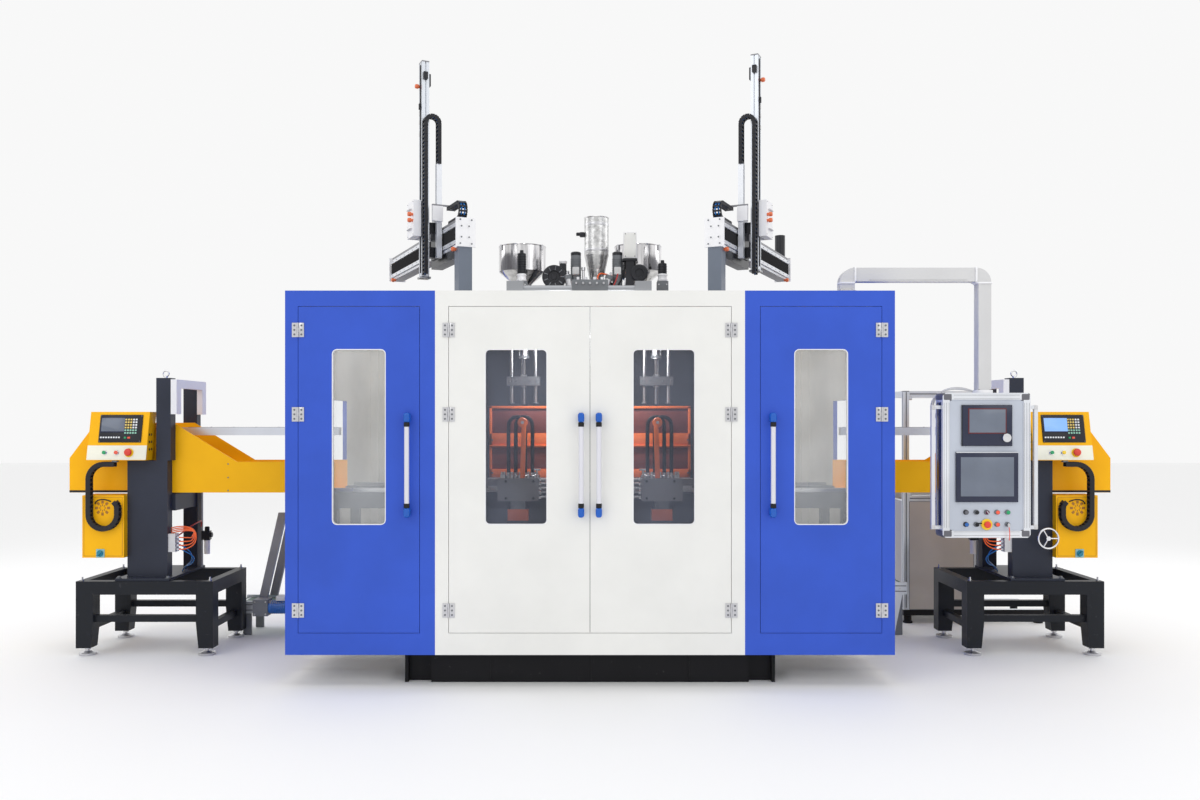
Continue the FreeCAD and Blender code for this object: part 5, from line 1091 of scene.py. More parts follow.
    piece(
        f"{side}_table_trim",
        "machine",
        [("brightSteel", feet), ("brightSteel", corners), ("machineryGrey", bolts), ("slatePaint", welds)],
    )
    valve = (sign * 2.883, -0.229, 0.7525)
    body = joined(
        *[
            moved(
                block((0.046, 0.058, 0.026), 0.004), (valve[0] - sign * 0.002, valve[1], 0.706 + 0.0275 * k)
            )
            for k in range(4)
        ]
    )
    nozzleAxes = ((0, 0, 1), (0, 1, 0), (-sign, 0, 0))
    nozzle = moved(
        lathe([(0.008, 0), (0.008, 0.007), (0.0062, 0.009), (0.0062, 0.016)], 14), axes=nozzleAxes
    )
    nozzles = repeated(nozzle, [(sign * 2.8575, -0.235, 0.706 + 0.0275 * k) for k in range(4)])
    blueNozzles = repeated(nozzle, [(sign * 2.8575, -0.214, 0.706 + 0.0275 * k) for k in range(3)])
    bowlPlace = (sign * 2.82, 0.216, 0.0)
    bowl = lathe(
        [(0.012, 0.622), (0.019, 0.63), (0.0205, 0.64), (0.0205, 0.705), (0.023, 0.708), (0.023, 0.722)], 24
    )
    collarRing = lathe([(0.0222, 0.714), (0.0235, 0.716), (0.0235, 0.724), (0.0222, 0.726)], 24)
    knob = lathe([(0.013, 0.785), (0.0175, 0.787), (0.0175, 0.808), (0.015, 0.815)], 18)
    gauge = moved(
        lathe([(0.017, 0), (0.0185, 0.003), (0.0185, 0.012), (0.0165, 0.014)], 24),
        (sign * 2.7955, 0.216, 0.755), nozzleAxes
    )
    piece(
        f"{side}_air_trim",
        "machine",
        [
            ("lightGrey", body),
            ("keyWhite", nozzles),
            ("lampBlue", blueNozzles),
            ("enamel", moved(bowl, bowlPlace)),
            ("controlBlack", moved(collarRing, bowlPlace)),
            ("rubberBlack", moved(knob, bowlPlace)),
            ("controlBlack", gauge),
        ],
    )
    for k in range(4):
        low = 0.706 + 0.0275 * k
        route = [
            (2.842, -0.235, low), (2.79 - 0.012 * k, -0.232, low - 0.004),
            (2.728 + 0.012 * k, -0.21, 0.752 + 0.012 * k), (2.745, -0.19, 0.842 - 0.004 * k),
            (2.84, -0.2, 0.868 - 0.012 * k), (2.905, -0.215, 0.852 - 0.012 * k)
        ]
        hose(
            f"{side}_orange_tube_{k}", "machine", [(sign * a, b, c) for a, b, c in route], 0.008,
            "tubeOrange"
        )
    for k in range(2):
        low = 0.706 + 0.0275 * k
        route = [
            (2.842, -0.214, low), (2.80, -0.21, low - 0.02), (2.755 + 0.02 * k, -0.17, 0.64 + 0.02 * k),
            (2.80, -0.12, 0.585 + 0.02 * k), (2.885, -0.05 + 0.04 * k, 0.56),
            (2.905, -0.02 + 0.04 * k, 0.524)
        ]
        hose(f"{side}_blue_tube_{k}", "machine", [(sign * a, b, c) for a, b, c in route], 0.008, "tubeBlue")
    route = [
        (2.868, 0.216, 0.80), (2.84, 0.18, 0.86), (2.82, 0.08, 0.87), (2.84, -0.06, 0.84),
        (2.87, -0.14, 0.80), (2.895, -0.187, 0.78)
    ]
    hose(f"{side}_supply_tube", "machine", [(sign * a, b, c) for a, b, c in route], 0.010, "hoseRed")
    route = [
        (3.262, -0.342, 1.045), (3.30, -0.347, 1.062), (3.35, -0.345, 1.055), (3.372, -0.337, 1.035),
        (3.378, -0.322, 1.028)
    ]
    hose(
        f"{side}_cabinet_lead", "machine", [(sign * a, b, c) for a, b, c in route], 0.009, "rubberBlack",
    )
print("stations made")

# ---- operator panel and its swing arm ----

panel = {
    "middle": 2.408,
    "glass": -1.0885,
    "redFrame": (0.232, 0.154, 1.594),
    "upperScreen": (0.219, 0.141, 1.594),
    "lowerScreen": (0.322, 0.238, 1.256),
    "buttonStep": 0.063,
    "buttonRows": (1.040, 0.966),
    "upperRow": ("cornerGrey", "controlBlack", "lampPurple", "lampRed", "lampGreen"),
    "lowerRow": ("lampBlue", "controlBlack", None, "lampRed", "controlBlack"),
}
middle, glass = panel["middle"], panel["glass"]


def plate(size, y, thick=0.002, shift=0.0, radius=0.001):
    # an upright thin plate: width, height and middle height, standing out of y
    return moved(
        block((size[0], thick, size[1]), radius), (middle + shift, y - thick / 2 + 0.0004, size[2])
    )


bezel = lathe([(0.0155, 0), (0.0155, 0.003), (0.0135, 0.005), (0.0135, 0.0195)], 24)
button = lathe([(0.0118, 0.018), (0.0118, 0.0215), (0.0095, 0.0235), (0.0001, 0.024)], 24)
bezel, button = moved(bezel, axes=towardsFront), moved(button, axes=towardsFront)
layers = [
    ("bezelNavy", plate((0.300, 0.245, 1.5665), glass, 0.0024)),
    ("frameRed", plate(panel["redFrame"], glass - 0.002, 0.002)),
    ("screenGrey", plate(panel["upperScreen"], glass - 0.0038, 0.0015)),
    ("bezelNavy", plate((0.372, 0.300, 1.254), glass, 0.0024)),
    ("screenGrey", plate(panel["lowerScreen"], glass - 0.002, 0.0018)),
    ("railWhite", plate((0.376, 0.005, 1.4035), glass, 0.003)),
    (
        "chrome",
        moved(
            lathe(
                [(0.0272, -0.012), (0.0272, 0.001), (0.0255, 0.0035), (0.012, 0.0032), (0.0001, 0.0025)], 36
            ),
            (middle + 0.115, -1.1005, 1.492), towardsFront
        )
    ),
]
for z, row in zip(panel["buttonRows"], (panel["upperRow"], panel["lowerRow"])):
    for k, look in enumerate(row):
        if look:
            place = (middle + (k - 2) * panel["buttonStep"], -1.0735, z)
            layers += [
                ("machineryGrey" if k else "controlBlack", moved(bezel, place)),
                (look, moved(button, place)),
            ]
lever = moved(block((0.006, 0.022, 0.010), 0.0025), axes=((0.8, 0, 0.6), (-0.6, 0, 0.8), (0, -1, 0)))
layers += [
    ("brightSteel", moved(lever, (middle, -1.0995, 1.040))),
    ("rubberBlack", moved(lever, (middle - 0.063, -1.0995, 0.966))),
    ("rubberBlack", moved(block((0.03, 0.008, 0.008), 0.003), (middle - 0.05, -1.0975, 0.974))),
    (
        "brightSteel",
        moved(
            lathe([(0.009, -0.003), (0.009, 0.001), (0.005, 0.002)], 20), (middle + 0.126, -1.0975, 0.966),
            towardsFront
        )
    ),
    ("brightSteel", moved(block((0.016, 0.003, 0.022), 0.0014), (middle + 0.126, -1.1035, 0.962))),
]
layers.append(
    (
        "lampYellow",
        moved(
            lathe([(0.034, 0), (0.034, 0.004), (0.031, 0.007), (0.020, 0.007)], 36),
            (middle, -1.0795, 0.966), towardsFront
        )
    )
)
piece("panel_face_controls", "operator_panel", layers)
cap = lathe(
    [
        (0.012, 0.0), (0.013, 0.008), (0.0195, 0.010), (0.0208, 0.016), (0.0195, 0.021), (0.013, 0.0245),
        (0.0001, 0.0255)
    ],
    32
)
piece(
    "stop_cap", "stop_button", [("stopRed", moved(cap, (middle, -1.0803, 0.966), towardsFront))],
    replaces=("panel_stop_button",)
)
casting = block((0.062, 0.131, 0.05), 0.013, 4)
castings = repeated(casting, [(middle + a * 0.2365, -1.0168, z) for a in (-1, 1) for z in (0.910, 1.740)])
groove = block((0.0016, 0.0012, 0.76), 0.0004)
grooves = repeated(
    groove, [(middle + a * x, -1.0806, 1.325) for a in (-1, 1) for x in (0.2285, 0.2435, 0.2585)]
)
sidePlate = block((0.0016, 0.074, 0.766), 0.0006)
sides = repeated(sidePlate, [(middle + a * 0.2668, -1.015, 1.325) for a in (-1, 1)])
lips = repeated(
    block((0.40, 0.0014, 0.0016), 0.0004), [(middle, -1.0808, z) for z in (0.899, 0.921, 1.7285, 1.751)]
)
backLine = rounded(0.43, 0.74, 0.01)
backPath = np.stack([backLine[:, 0] + middle, np.full(len(backLine), -0.9525), backLine[:, 1] + 1.325], -1)
backScrews = screwsAt(
    0.005, 0.0025, [(middle + a * 0.19, -0.9535, 1.325 + b * 0.34) for a in (-1, 1) for b in (-1, 0, 1)],
    towardsBack
)
ends = repeated(
    block((0.026, 0.026, 0.03), 0.006, 3),
    [(middle + a * 0.313, -1.0388, z) for a in (-1, 1) for z in (0.947, 1.676)]
)
flange = repeated(
    screwHead(0.006, 0.004),
    [(middle + 0.048 * math.cos(t), -1.017 + 0.048 * math.sin(t), 1.7825) for t in (0.8, 2.4, 3.9, 5.5)]
)
piece(
    "panel_case_trim",
    "operator_panel",
    [
        ("cornerGrey", castings),
        ("machineryGrey", grooves),
        ("bezelNavy", sides),
        ("machineryGrey", lips),
        ("machineryGrey", sweep(backPath, ringProfile(0.002, 0.003), (0, 1, 0), closed=True)),
        ("machineryGrey", backScrews),
        ("lightGrey", ends),
        ("machineryGrey", flange),
    ],
)
square = rounded(0.086, 0.080, 0.010)
zFlat = np.stack([square[:, 0], square[:, 1], np.zeros(len(square))], -1)


def armCollar(place, axes):
    # a thin square band round the arm's tube
    return moved(sweep(zFlat, ringProfile(0.010, 0.009), (0, 0, 1), closed=True), place, axes)


upAxes = ((1, 0, 0), (0, 1, 0), (0, 0, 1))
collars = joined(
    armCollar((1.57, -1.017, 2.437), upAxes),
    armCollar((1.617, -1.017, 2.487), towardsRight),
    armCollar((2.355, -1.017, 2.487), towardsRight),
    armCollar((2.408, -1.017, 2.437), upAxes),
)
seams = repeated(block((0.30, 0.0012, 0.0014), 0.0004), [(x, -1.0535, 2.4535) for x in (1.85, 2.15)])
anchor = repeated(
    joined(
        lathe([(0.010, 0), (0.010, 0.002)], 18),
        moved(lathe([(0.008, 0), (0.0075, 0.006)], 6), (0, 0, 0.002))
    ),
    [
        (1.57 + 0.05 * math.cos(t), -1.017 + 0.05 * math.sin(t), 2.392)
        for t in np.radians([45, 135, 225, 315])
    ]
)
piece(
    "swing_arm_trim", "panel_swing_arm",
    [("enamel", collars), ("machineryGrey", seams), ("brightSteel", anchor)]
)
for k in range(2):
    route = [
        (2.365, -0.99 + 0.016 * k, 1.776), (2.30, -0.965, 1.795 + 0.012 * k),
        (2.19, -0.945 + 0.012 * k, 1.788), (2.12 + 0.014 * k, -0.925, 1.72),
        (2.13 + 0.012 * k, -0.922, 1.63), (2.18, -0.93, 1.60), (2.21, -0.95, 1.60 - 0.016 * k)
    ]
    hose(f"panel_cable_{k}", "operator_panel", route, 0.011, "lightGrey")
route = [
    (middle + 0.126, -1.1035, 0.951), (middle + 0.127, -1.107, 0.935), (middle + 0.130, -1.106, 0.90),
    (middle + 0.127, -1.105, 0.872)
]
hose("key_strap", "operator_panel", route, 0.005, "lampRed")
print("operator panel made")

# ---- roof: hoppers, loaders, blower, drives and their hoses ----

roof = {
    "hoppers": ((-0.5, 0.25, 0.173, 2.88), (0.355, 0.25, 0.173, 2.88), (0.048, 0.25, 0.09, 3.095)),
    "outletHeight": 2.577,
    "blower": (-0.257, 0.015, 2.625),
    "blowerRadius": 0.081,
    "loaders": ((-0.491, 0.042, 2.65, 2.791), (0.521, 0.042, 2.65, 2.719)),
    "feeders": ((-0.102, 0.07, 2.79), (0.198, 0.07, 2.79)),
    "junction": (0.287, 0.04, 2.8525),
    "motors": (-0.5, 0.048, 0.355),
}
rims, bands = [], []
for x, y, radius, top in roof["hoppers"]:
    circle = arc(x, y, radius - 0.002, 0, 360, 65)[:-1]
    path = np.column_stack([circle, np.full(64, top - 0.004)])
    turn = np.linspace(0, 2 * math.pi, 8, endpoint=False)
    rims.append(sweep(path, 0.0055 * np.stack([np.cos(turn), np.sin(turn)], -1), (0, 0, 1), closed=True))
    outlet = 0.052 if radius > 0.1 else 0.046
    bands.append(
        moved(
            lathe([(outlet, 0), (outlet + 0.008, 0.001), (outlet + 0.008, 0.012), (outlet, 0.013)], 32),
            (x, y, roof["outletHeight"] + 0.001)
        )
    )
seamShapes = [
    moved(
        block((0.004, 0.002, 0.17), 0.0009), (x + 0.06, y - math.sqrt(radius**2 - 0.0036) - 0.0004, 2.785)
    ) for x,
    y, radius, top in roof["hoppers"][:2]
]
wing = joined(
    moved(block((0.02, 0.012, 0.03), 0.004), (0, 0, 0)),
    moved(lathe([(0.0075, -0.02), (0.0075, 0.02)], 12), (0, -0.008, 0))
)
latches = repeated(
    wing,
    [(-0.5 + 0.15 * a, 0.25 - 0.092, 2.86) for a in (-1, 1)] + [
        (0.355 + 0.15 * a, 0.25 - 0.092, 2.86)
        for a in (-1, 1)
    ]
)
sensorBody = joined(
    moved(block((0.036, 0.034, 0.036), 0.006), (-0.058, 0.235, 2.968)),
    moved(lathe([(0.013, 0), (0.013, 0.028), (0.010, 0.032)], 16), (-0.07, 0.235, 2.972), towardsLeft),
)
lid = moved(
    lathe([(0.086, 0), (0.0865, 0.004), (0.078, 0.009), (0.03, 0.012), (0.03, 0.018), (0.024, 0.02)], 48),
    (0.048, 0.25, 3.072)
)
sleeve = lathe([(0.0905, 0), (0.0912, 0.003), (0.0912, 0.018), (0.0905, 0.021)], 48)
sleeves = repeated(sleeve, [(0.048, 0.25, z) for z in (2.84, 3.03)])
piece(
    "hopper_rims", "machine",
    [
        ("polishedSteel", joined(*rims)), ("brightSteel", joined(*bands)),
        ("brightSteel", joined(*seamShapes)), ("brightSteel", latches)
    ]
)
piece(
    "hopper_fittings", "machine",
    [("controlBlack", sensorBody), ("brightSteel", sleeves), ("polishedSteel", lid)]
)

x, y, z = roof["blower"]
size = roof["blowerRadius"]
discs = lathe(
    [
        (size + 0.004, 0), (size + 0.005, 0.004), (size + 0.003, 0.012), (size - 0.008, 0.016),
        (0.044, 0.017), (0.041, 0.006), (0.02, 0.006), (0.018, 0.018), (0.0001, 0.02)
    ],
    48
)
spokes = np.arange(9) * 2 * math.pi / 9
radial = np.stack([np.cos(spokes), np.zeros(9), np.sin(spokes)], -1)
tangent = np.stack([-np.sin(spokes), np.zeros(9), np.cos(spokes)], -1)
rays = along(
    block((0.030, 0.006, 0.004), 0.0015, 1), np.array([x, y - 0.017, z]) + radial * 0.061,
    np.stack([radial, tangent, np.tile([0.0, -1.0, 0.0], (9, 1))], 1)
)
spout = moved(block((0.05, 0.06, 0.11), 0.008), (x + 0.062, 0.07, 2.672))
mouth = moved(
    lathe([(0.027, 0), (0.0285, 0.003), (0.0285, 0.018), (0.026, 0.02)], 24), (x + 0.062, 0.07, 2.727)
)
foot = moved(block((0.14, 0.09, 0.05), 0.006), (x, 0.07, 2.44))
piece(
    "blower_trim", "machine",
    [
        ("controlBlack", moved(discs, (x, y, z), towardsFront)), ("machineryGrey", rays),
        ("controlBlack", spout), ("enamel", mouth), ("machineryGrey", foot)
    ],
)
layers = []
for x, y, low, high in roof["loaders"]:
    ribs = lathe([(0.0315, 0), (0.033, 0.002), (0.033, 0.006), (0.0315, 0.008)], 28)
    heights = np.arange(low + 0.012, high - 0.02, 0.018)
    layers += [
        ("controlBlack", repeated(ribs, [(x, y, h) for h in heights])),
        (
            "controlBlack",
            moved(
                lathe([(0.031, 0), (0.030, 0.006), (0.014, 0.012), (0.013, 0.03), (0.0001, 0.032)], 24),
                (x, y, high - 0.001)
            )
        ),
        (
            "enamel",
            moved(lathe([(0.034, 0), (0.0365, 0.003), (0.0365, 0.012), (0.034, 0.015)], 28), (x, y, 2.597))
        ),
        (
            "enamel",
            moved(lathe([(0.034, 0), (0.0365, 0.003), (0.0365, 0.009), (0.034, 0.012)], 28), (x, y, 2.634))
        ),
        (
            "brightSteel",
            screwsAt(
                0.005, 0.004, [(x + 0.028 * a, y - 0.04, 2.50 + 0.07 * b) for a in (-1, 1) for b in (0, 1)]
            )
        ),
    ]
for x, y, top in roof["feeders"]:
    fins = lathe([(0.0362, 0), (0.039, 0.001), (0.039, 0.004), (0.0362, 0.005)], 28)
    layers += [
        ("machineryGrey", repeated(fins, [(x, y, h) for h in np.arange(2.60, 2.765, 0.013)])),
        (
            "controlBlack",
            moved(
                lathe([(0.037, 0), (0.037, 0.02), (0.028, 0.026), (0.0001, 0.027)], 28), (x, y, top - 0.004)
            )
        ),
        ("lightGrey", moved(block((0.05, 0.03, 0.055), 0.006), (x, y - 0.045, 2.67))),
        ("machineryGrey", moved(lathe([(0.044, 0), (0.044, 0.012), (0.038, 0.016)], 28), (x, y, 2.545))),
    ]
x, y, z = roof["junction"]
layers += [
    ("bayWhite", moved(block((0.084, 0.006, 0.176), 0.003), (x, 0.0085, z))),
    (
        "machineryGrey",
        screwsAt(0.004, 0.002, [(x + 0.034 * a, 0.006, z + 0.08 * b) for a in (-1, 1) for b in (-1, 1)])
    ),
]
gland = lathe([(0.012, 0), (0.012, 0.006), (0.009, 0.01), (0.009, 0.018)], 12)
layers += [
    (
        "controlBlack",
        repeated(
            moved(gland, axes=((1, 0, 0), (0, -1, 0), (0, 0, -1))),
            [(x + 0.028 * a, 0.04, 2.7605) for a in (-1, 1)]
        )
    ),
    ("controlBlack", moved(block((0.105, 0.075, 0.02), 0.005), (x, 0.04, 2.748))),
]
piece("roof_fittings", "machine", layers)
layers = []
for x in roof["motors"]:
    fin = block((0.004, 0.25, 0.012), 0.001, 1)
    turns = np.arange(16) * math.pi / 8
    outward = np.stack([np.cos(turns), np.zeros(16), np.sin(turns)], -1)
    sideways = np.cross(np.tile([0.0, 1.0, 0.0], (16, 1)), outward)
    layers.append(
        (
            "lampBlue",
            along(
                fin, np.array([x, 0.71, 2.509]) + outward * 0.082,
                np.stack([sideways, np.tile([0.0, 1.0, 0.0], (16, 1)), outward], 1)
            )
        )
    )
    cowl = lathe(
        [(0.074, 0), (0.080, 0.004), (0.080, 0.03), (0.07, 0.042), (0.03, 0.045), (0.0001, 0.045)], 36
    )
    layers += [
        ("machineryGrey", moved(cowl, (x, 0.842, 2.509), lengthwise)),
        ("lightGrey", moved(block((0.09, 0.11, 0.05), 0.008), (x, 0.66, 2.606))),
    ]
    plateBolts = [(x + 0.07 * a, 0.3285, 2.507 + 0.07 * b) for a in (-1, 1) for b in (-1, 1)]
    layers.append(("brightSteel", screwsAt(0.008, 0.006, plateBolts)))
    heater = lathe([(0.0555, 0), (0.0585, 0.002), (0.0585, 0.052), (0.0555, 0.054)], 36)
    heater = moved(heater, axes=lengthwise)
    layers.append(("brightSteel", repeated(heater, [(x, s, 2.47) for s in (-0.27, -0.19, -0.11, 0.115)])))
piece("drive_trim", "machine", layers)
valve = lathe(
    [
        (0.016, 0), (0.016, 0.05), (0.010, 0.055), (0.010, 0.10), (0.019, 0.104), (0.019, 0.15),
        (0.008, 0.156), (0.008, 0.22), (0.013, 0.224), (0.013, 0.26), (0.0001, 0.262)
    ],
    20
)
shortValve = lathe(
    [
        (0.015, 0), (0.015, 0.04), (0.022, 0.044), (0.022, 0.085), (0.009, 0.09), (0.009, 0.15),
        (0.014, 0.153), (0.014, 0.175), (0.0001, 0.177)
    ],
    20
)
wingBlock = block((0.06, 0.035, 0.045), 0.006)
elbowArc = arc(0, 0, 0.05, 0, 90, 12)
elbowPath = np.stack([elbowArc[:, 0], np.zeros(12), elbowArc[:, 1]], -1)
turn = np.linspace(0, 2 * math.pi, 16, endpoint=False)
elbowPipe = sweep(elbowPath, 0.014 * np.stack([np.cos(turn), np.sin(turn)], -1), (0, 1, 0))


def leaning(size, radius, start, end):
    # a rounded bar whose long side runs from start to end
    start, end = np.array(start), np.array(end)
    way = (end - start) / np.linalg.norm(end - start)
    side = np.cross([0, 1, 0], way)
    side = side / np.linalg.norm(side)
    return moved(
        block((size[0], size[1], float(np.linalg.norm(end - start))), radius), (start + end) / 2,
        (side, np.cross(way, side), way)
    )


layers = [
    ("brightSteel", moved(valve, (-0.162, 0.055, 2.414))),
    ("chrome", moved(shortValve, (-0.048, 0.05, 2.524))),
    ("brightSteel", moved(shortValve, (0.135, 0.052, 2.44))),
    ("chrome", moved(valve, (0.392, 0.06, 2.414))),
    (
        "controlBlack",
        repeated(
            wingBlock,
            [(-0.162, 0.055, 2.52), (0.135, 0.055, 2.53), (0.392, 0.06, 2.545), (-0.335, 0.06, 2.437)]
        )
    ),
    ("stopRed", repeated(block((0.022, 0.018, 0.03), 0.005), [(0.135, 0.03, 2.565), (-0.075, 0.03, 2.56)])),
    (
        "machineryGrey",
        repeated(block((0.075, 0.05, 0.07), 0.008), [(-0.04, 0.052, 2.45), (0.085, 0.06, 2.45)])
    ),
    ("controlBlack", leaning((0.028, 0.03), 0.006, (0.075, 0.062, 2.47), (0.165, 0.06, 2.585))),
    ("brightSteel", leaning((0.018, 0.02), 0.005, (0.225, 0.04, 2.42), (0.258, 0.03, 2.62))),
    ("brightSteel", leaning((0.022, 0.02), 0.005, (-0.125, 0.045, 2.42), (-0.085, 0.03, 2.60))),
    ("controlBlack", leaning((0.034, 0.02), 0.006, (0.33, 0.05, 2.43), (0.375, 0.03, 2.60))),
    ("brightSteel", moved(elbowPipe, (-0.36, 0.06, 2.46))),
    (
        "brightSteel",
        repeated(
            screwHead(0.012, 0.02),
            [(x, -0.45 + y, 2.525) for x in (-0.08, -0.03, 0.03, 0.08) for y in (-0.09, 0.09)]
        )
    ),
]
slant = lathe(
    [
        (0.0001, -0.1), (0.02, -0.1), (0.025, -0.095), (0.025, 0.05), (0.028, 0.052), (0.028, 0.075),
        (0.022, 0.082), (0.008, 0.086), (0.008, 0.1), (0.0001, 0.106)
    ],
    24
)
slantCap = lathe([(0.0285, 0.05), (0.030, 0.052), (0.030, 0.076), (0.0285, 0.078)], 24)
for lower, upper in (
    ((-0.130, 0.018, 2.46), (-0.166, 0.018, 2.66)), ((0.088, 0.018, 2.46), (0.150, 0.018, 2.66))
):
    way = (np.array(upper) - lower) / np.linalg.norm(np.array(upper) - lower)
    axes = (np.cross([0, 1, 0], way), (0, 1, 0), way)
    middlePoint = (np.array(lower) + upper) / 2
    layers += [
        ("brightSteel", moved(slant, middlePoint, axes)),
        ("machineryGrey", moved(slantCap, middlePoint, axes)),
        ("machineryGrey", moved(block((0.07, 0.05, 0.05), 0.006), np.array(lower) + (0, 0.02, -0.02))),
    ]
secondBlower = lathe(
    [
        (0.0001, 0), (0.058, 0), (0.062, 0.004), (0.062, 0.03), (0.055, 0.036), (0.03, 0.037),
        (0.028, 0.03), (0.0001, 0.03)
    ],
    40
)
layers += [
    ("controlBlack", moved(secondBlower, (0.352, 0.03, 2.652), towardsFront)),
    ("controlBlack", moved(block((0.06, 0.03, 0.05), 0.006), (0.316, 0.035, 2.652))),
]
heads = [(x, -0.571, z) for x in (-0.09, -0.045, 0, 0.045, 0.09) for z in (2.44, 2.50)]
layers.append(("brightSteel", screwsAt(0.008, 0.014, heads)))
piece("roof_valves", "machine", layers)
roofHoses = (
    (
        "orange_roof_tube",
        (
            (0.10, 0.02, 2.43), (0.092, 0.012, 2.49), (0.07, 0.01, 2.56), (0.05, 0.015, 2.62),
            (0.07, 0.035, 2.655), (0.11, 0.05, 2.65), (0.158, 0.06, 2.64)
        ),
        0.012, "tubeOrange"
    ),
    (
        "junction_lead_a",
        (
            (0.259, 0.04, 2.742), (0.255, 0.035, 2.70), (0.235, 0.02, 2.62), (0.20, 0.005, 2.56),
            (0.19, 0.0, 2.50), (0.20, 0.015, 2.44), (0.21, 0.03, 2.416)
        ),
        0.011, "rubberBlack"
    ),
    (
        "junction_lead_b",
        (
            (0.315, 0.04, 2.742), (0.325, 0.03, 2.70), (0.345, 0.01, 2.62), (0.37, 0.0, 2.54),
            (0.375, 0.005, 2.48), (0.365, 0.02, 2.43), (0.36, 0.035, 2.416)
        ),
        0.011, "rubberBlack"
    ),
    (
        "motor_lead_b",
        (
            (0.198, 0.012, 2.645), (0.195, 0.0, 2.62), (0.17, -0.012, 2.56), (0.14, -0.008, 2.50),
            (0.135, 0.01, 2.45), (0.135, 0.045, 2.416)
        ),
        0.010, "hoseRed"
    ),
)
for name, route, diameter, look in roofHoses:
    hose(name, "machine", route, diameter, look)
print("roof made")

# ---- clamps and extrusion head behind the tinted windows ----

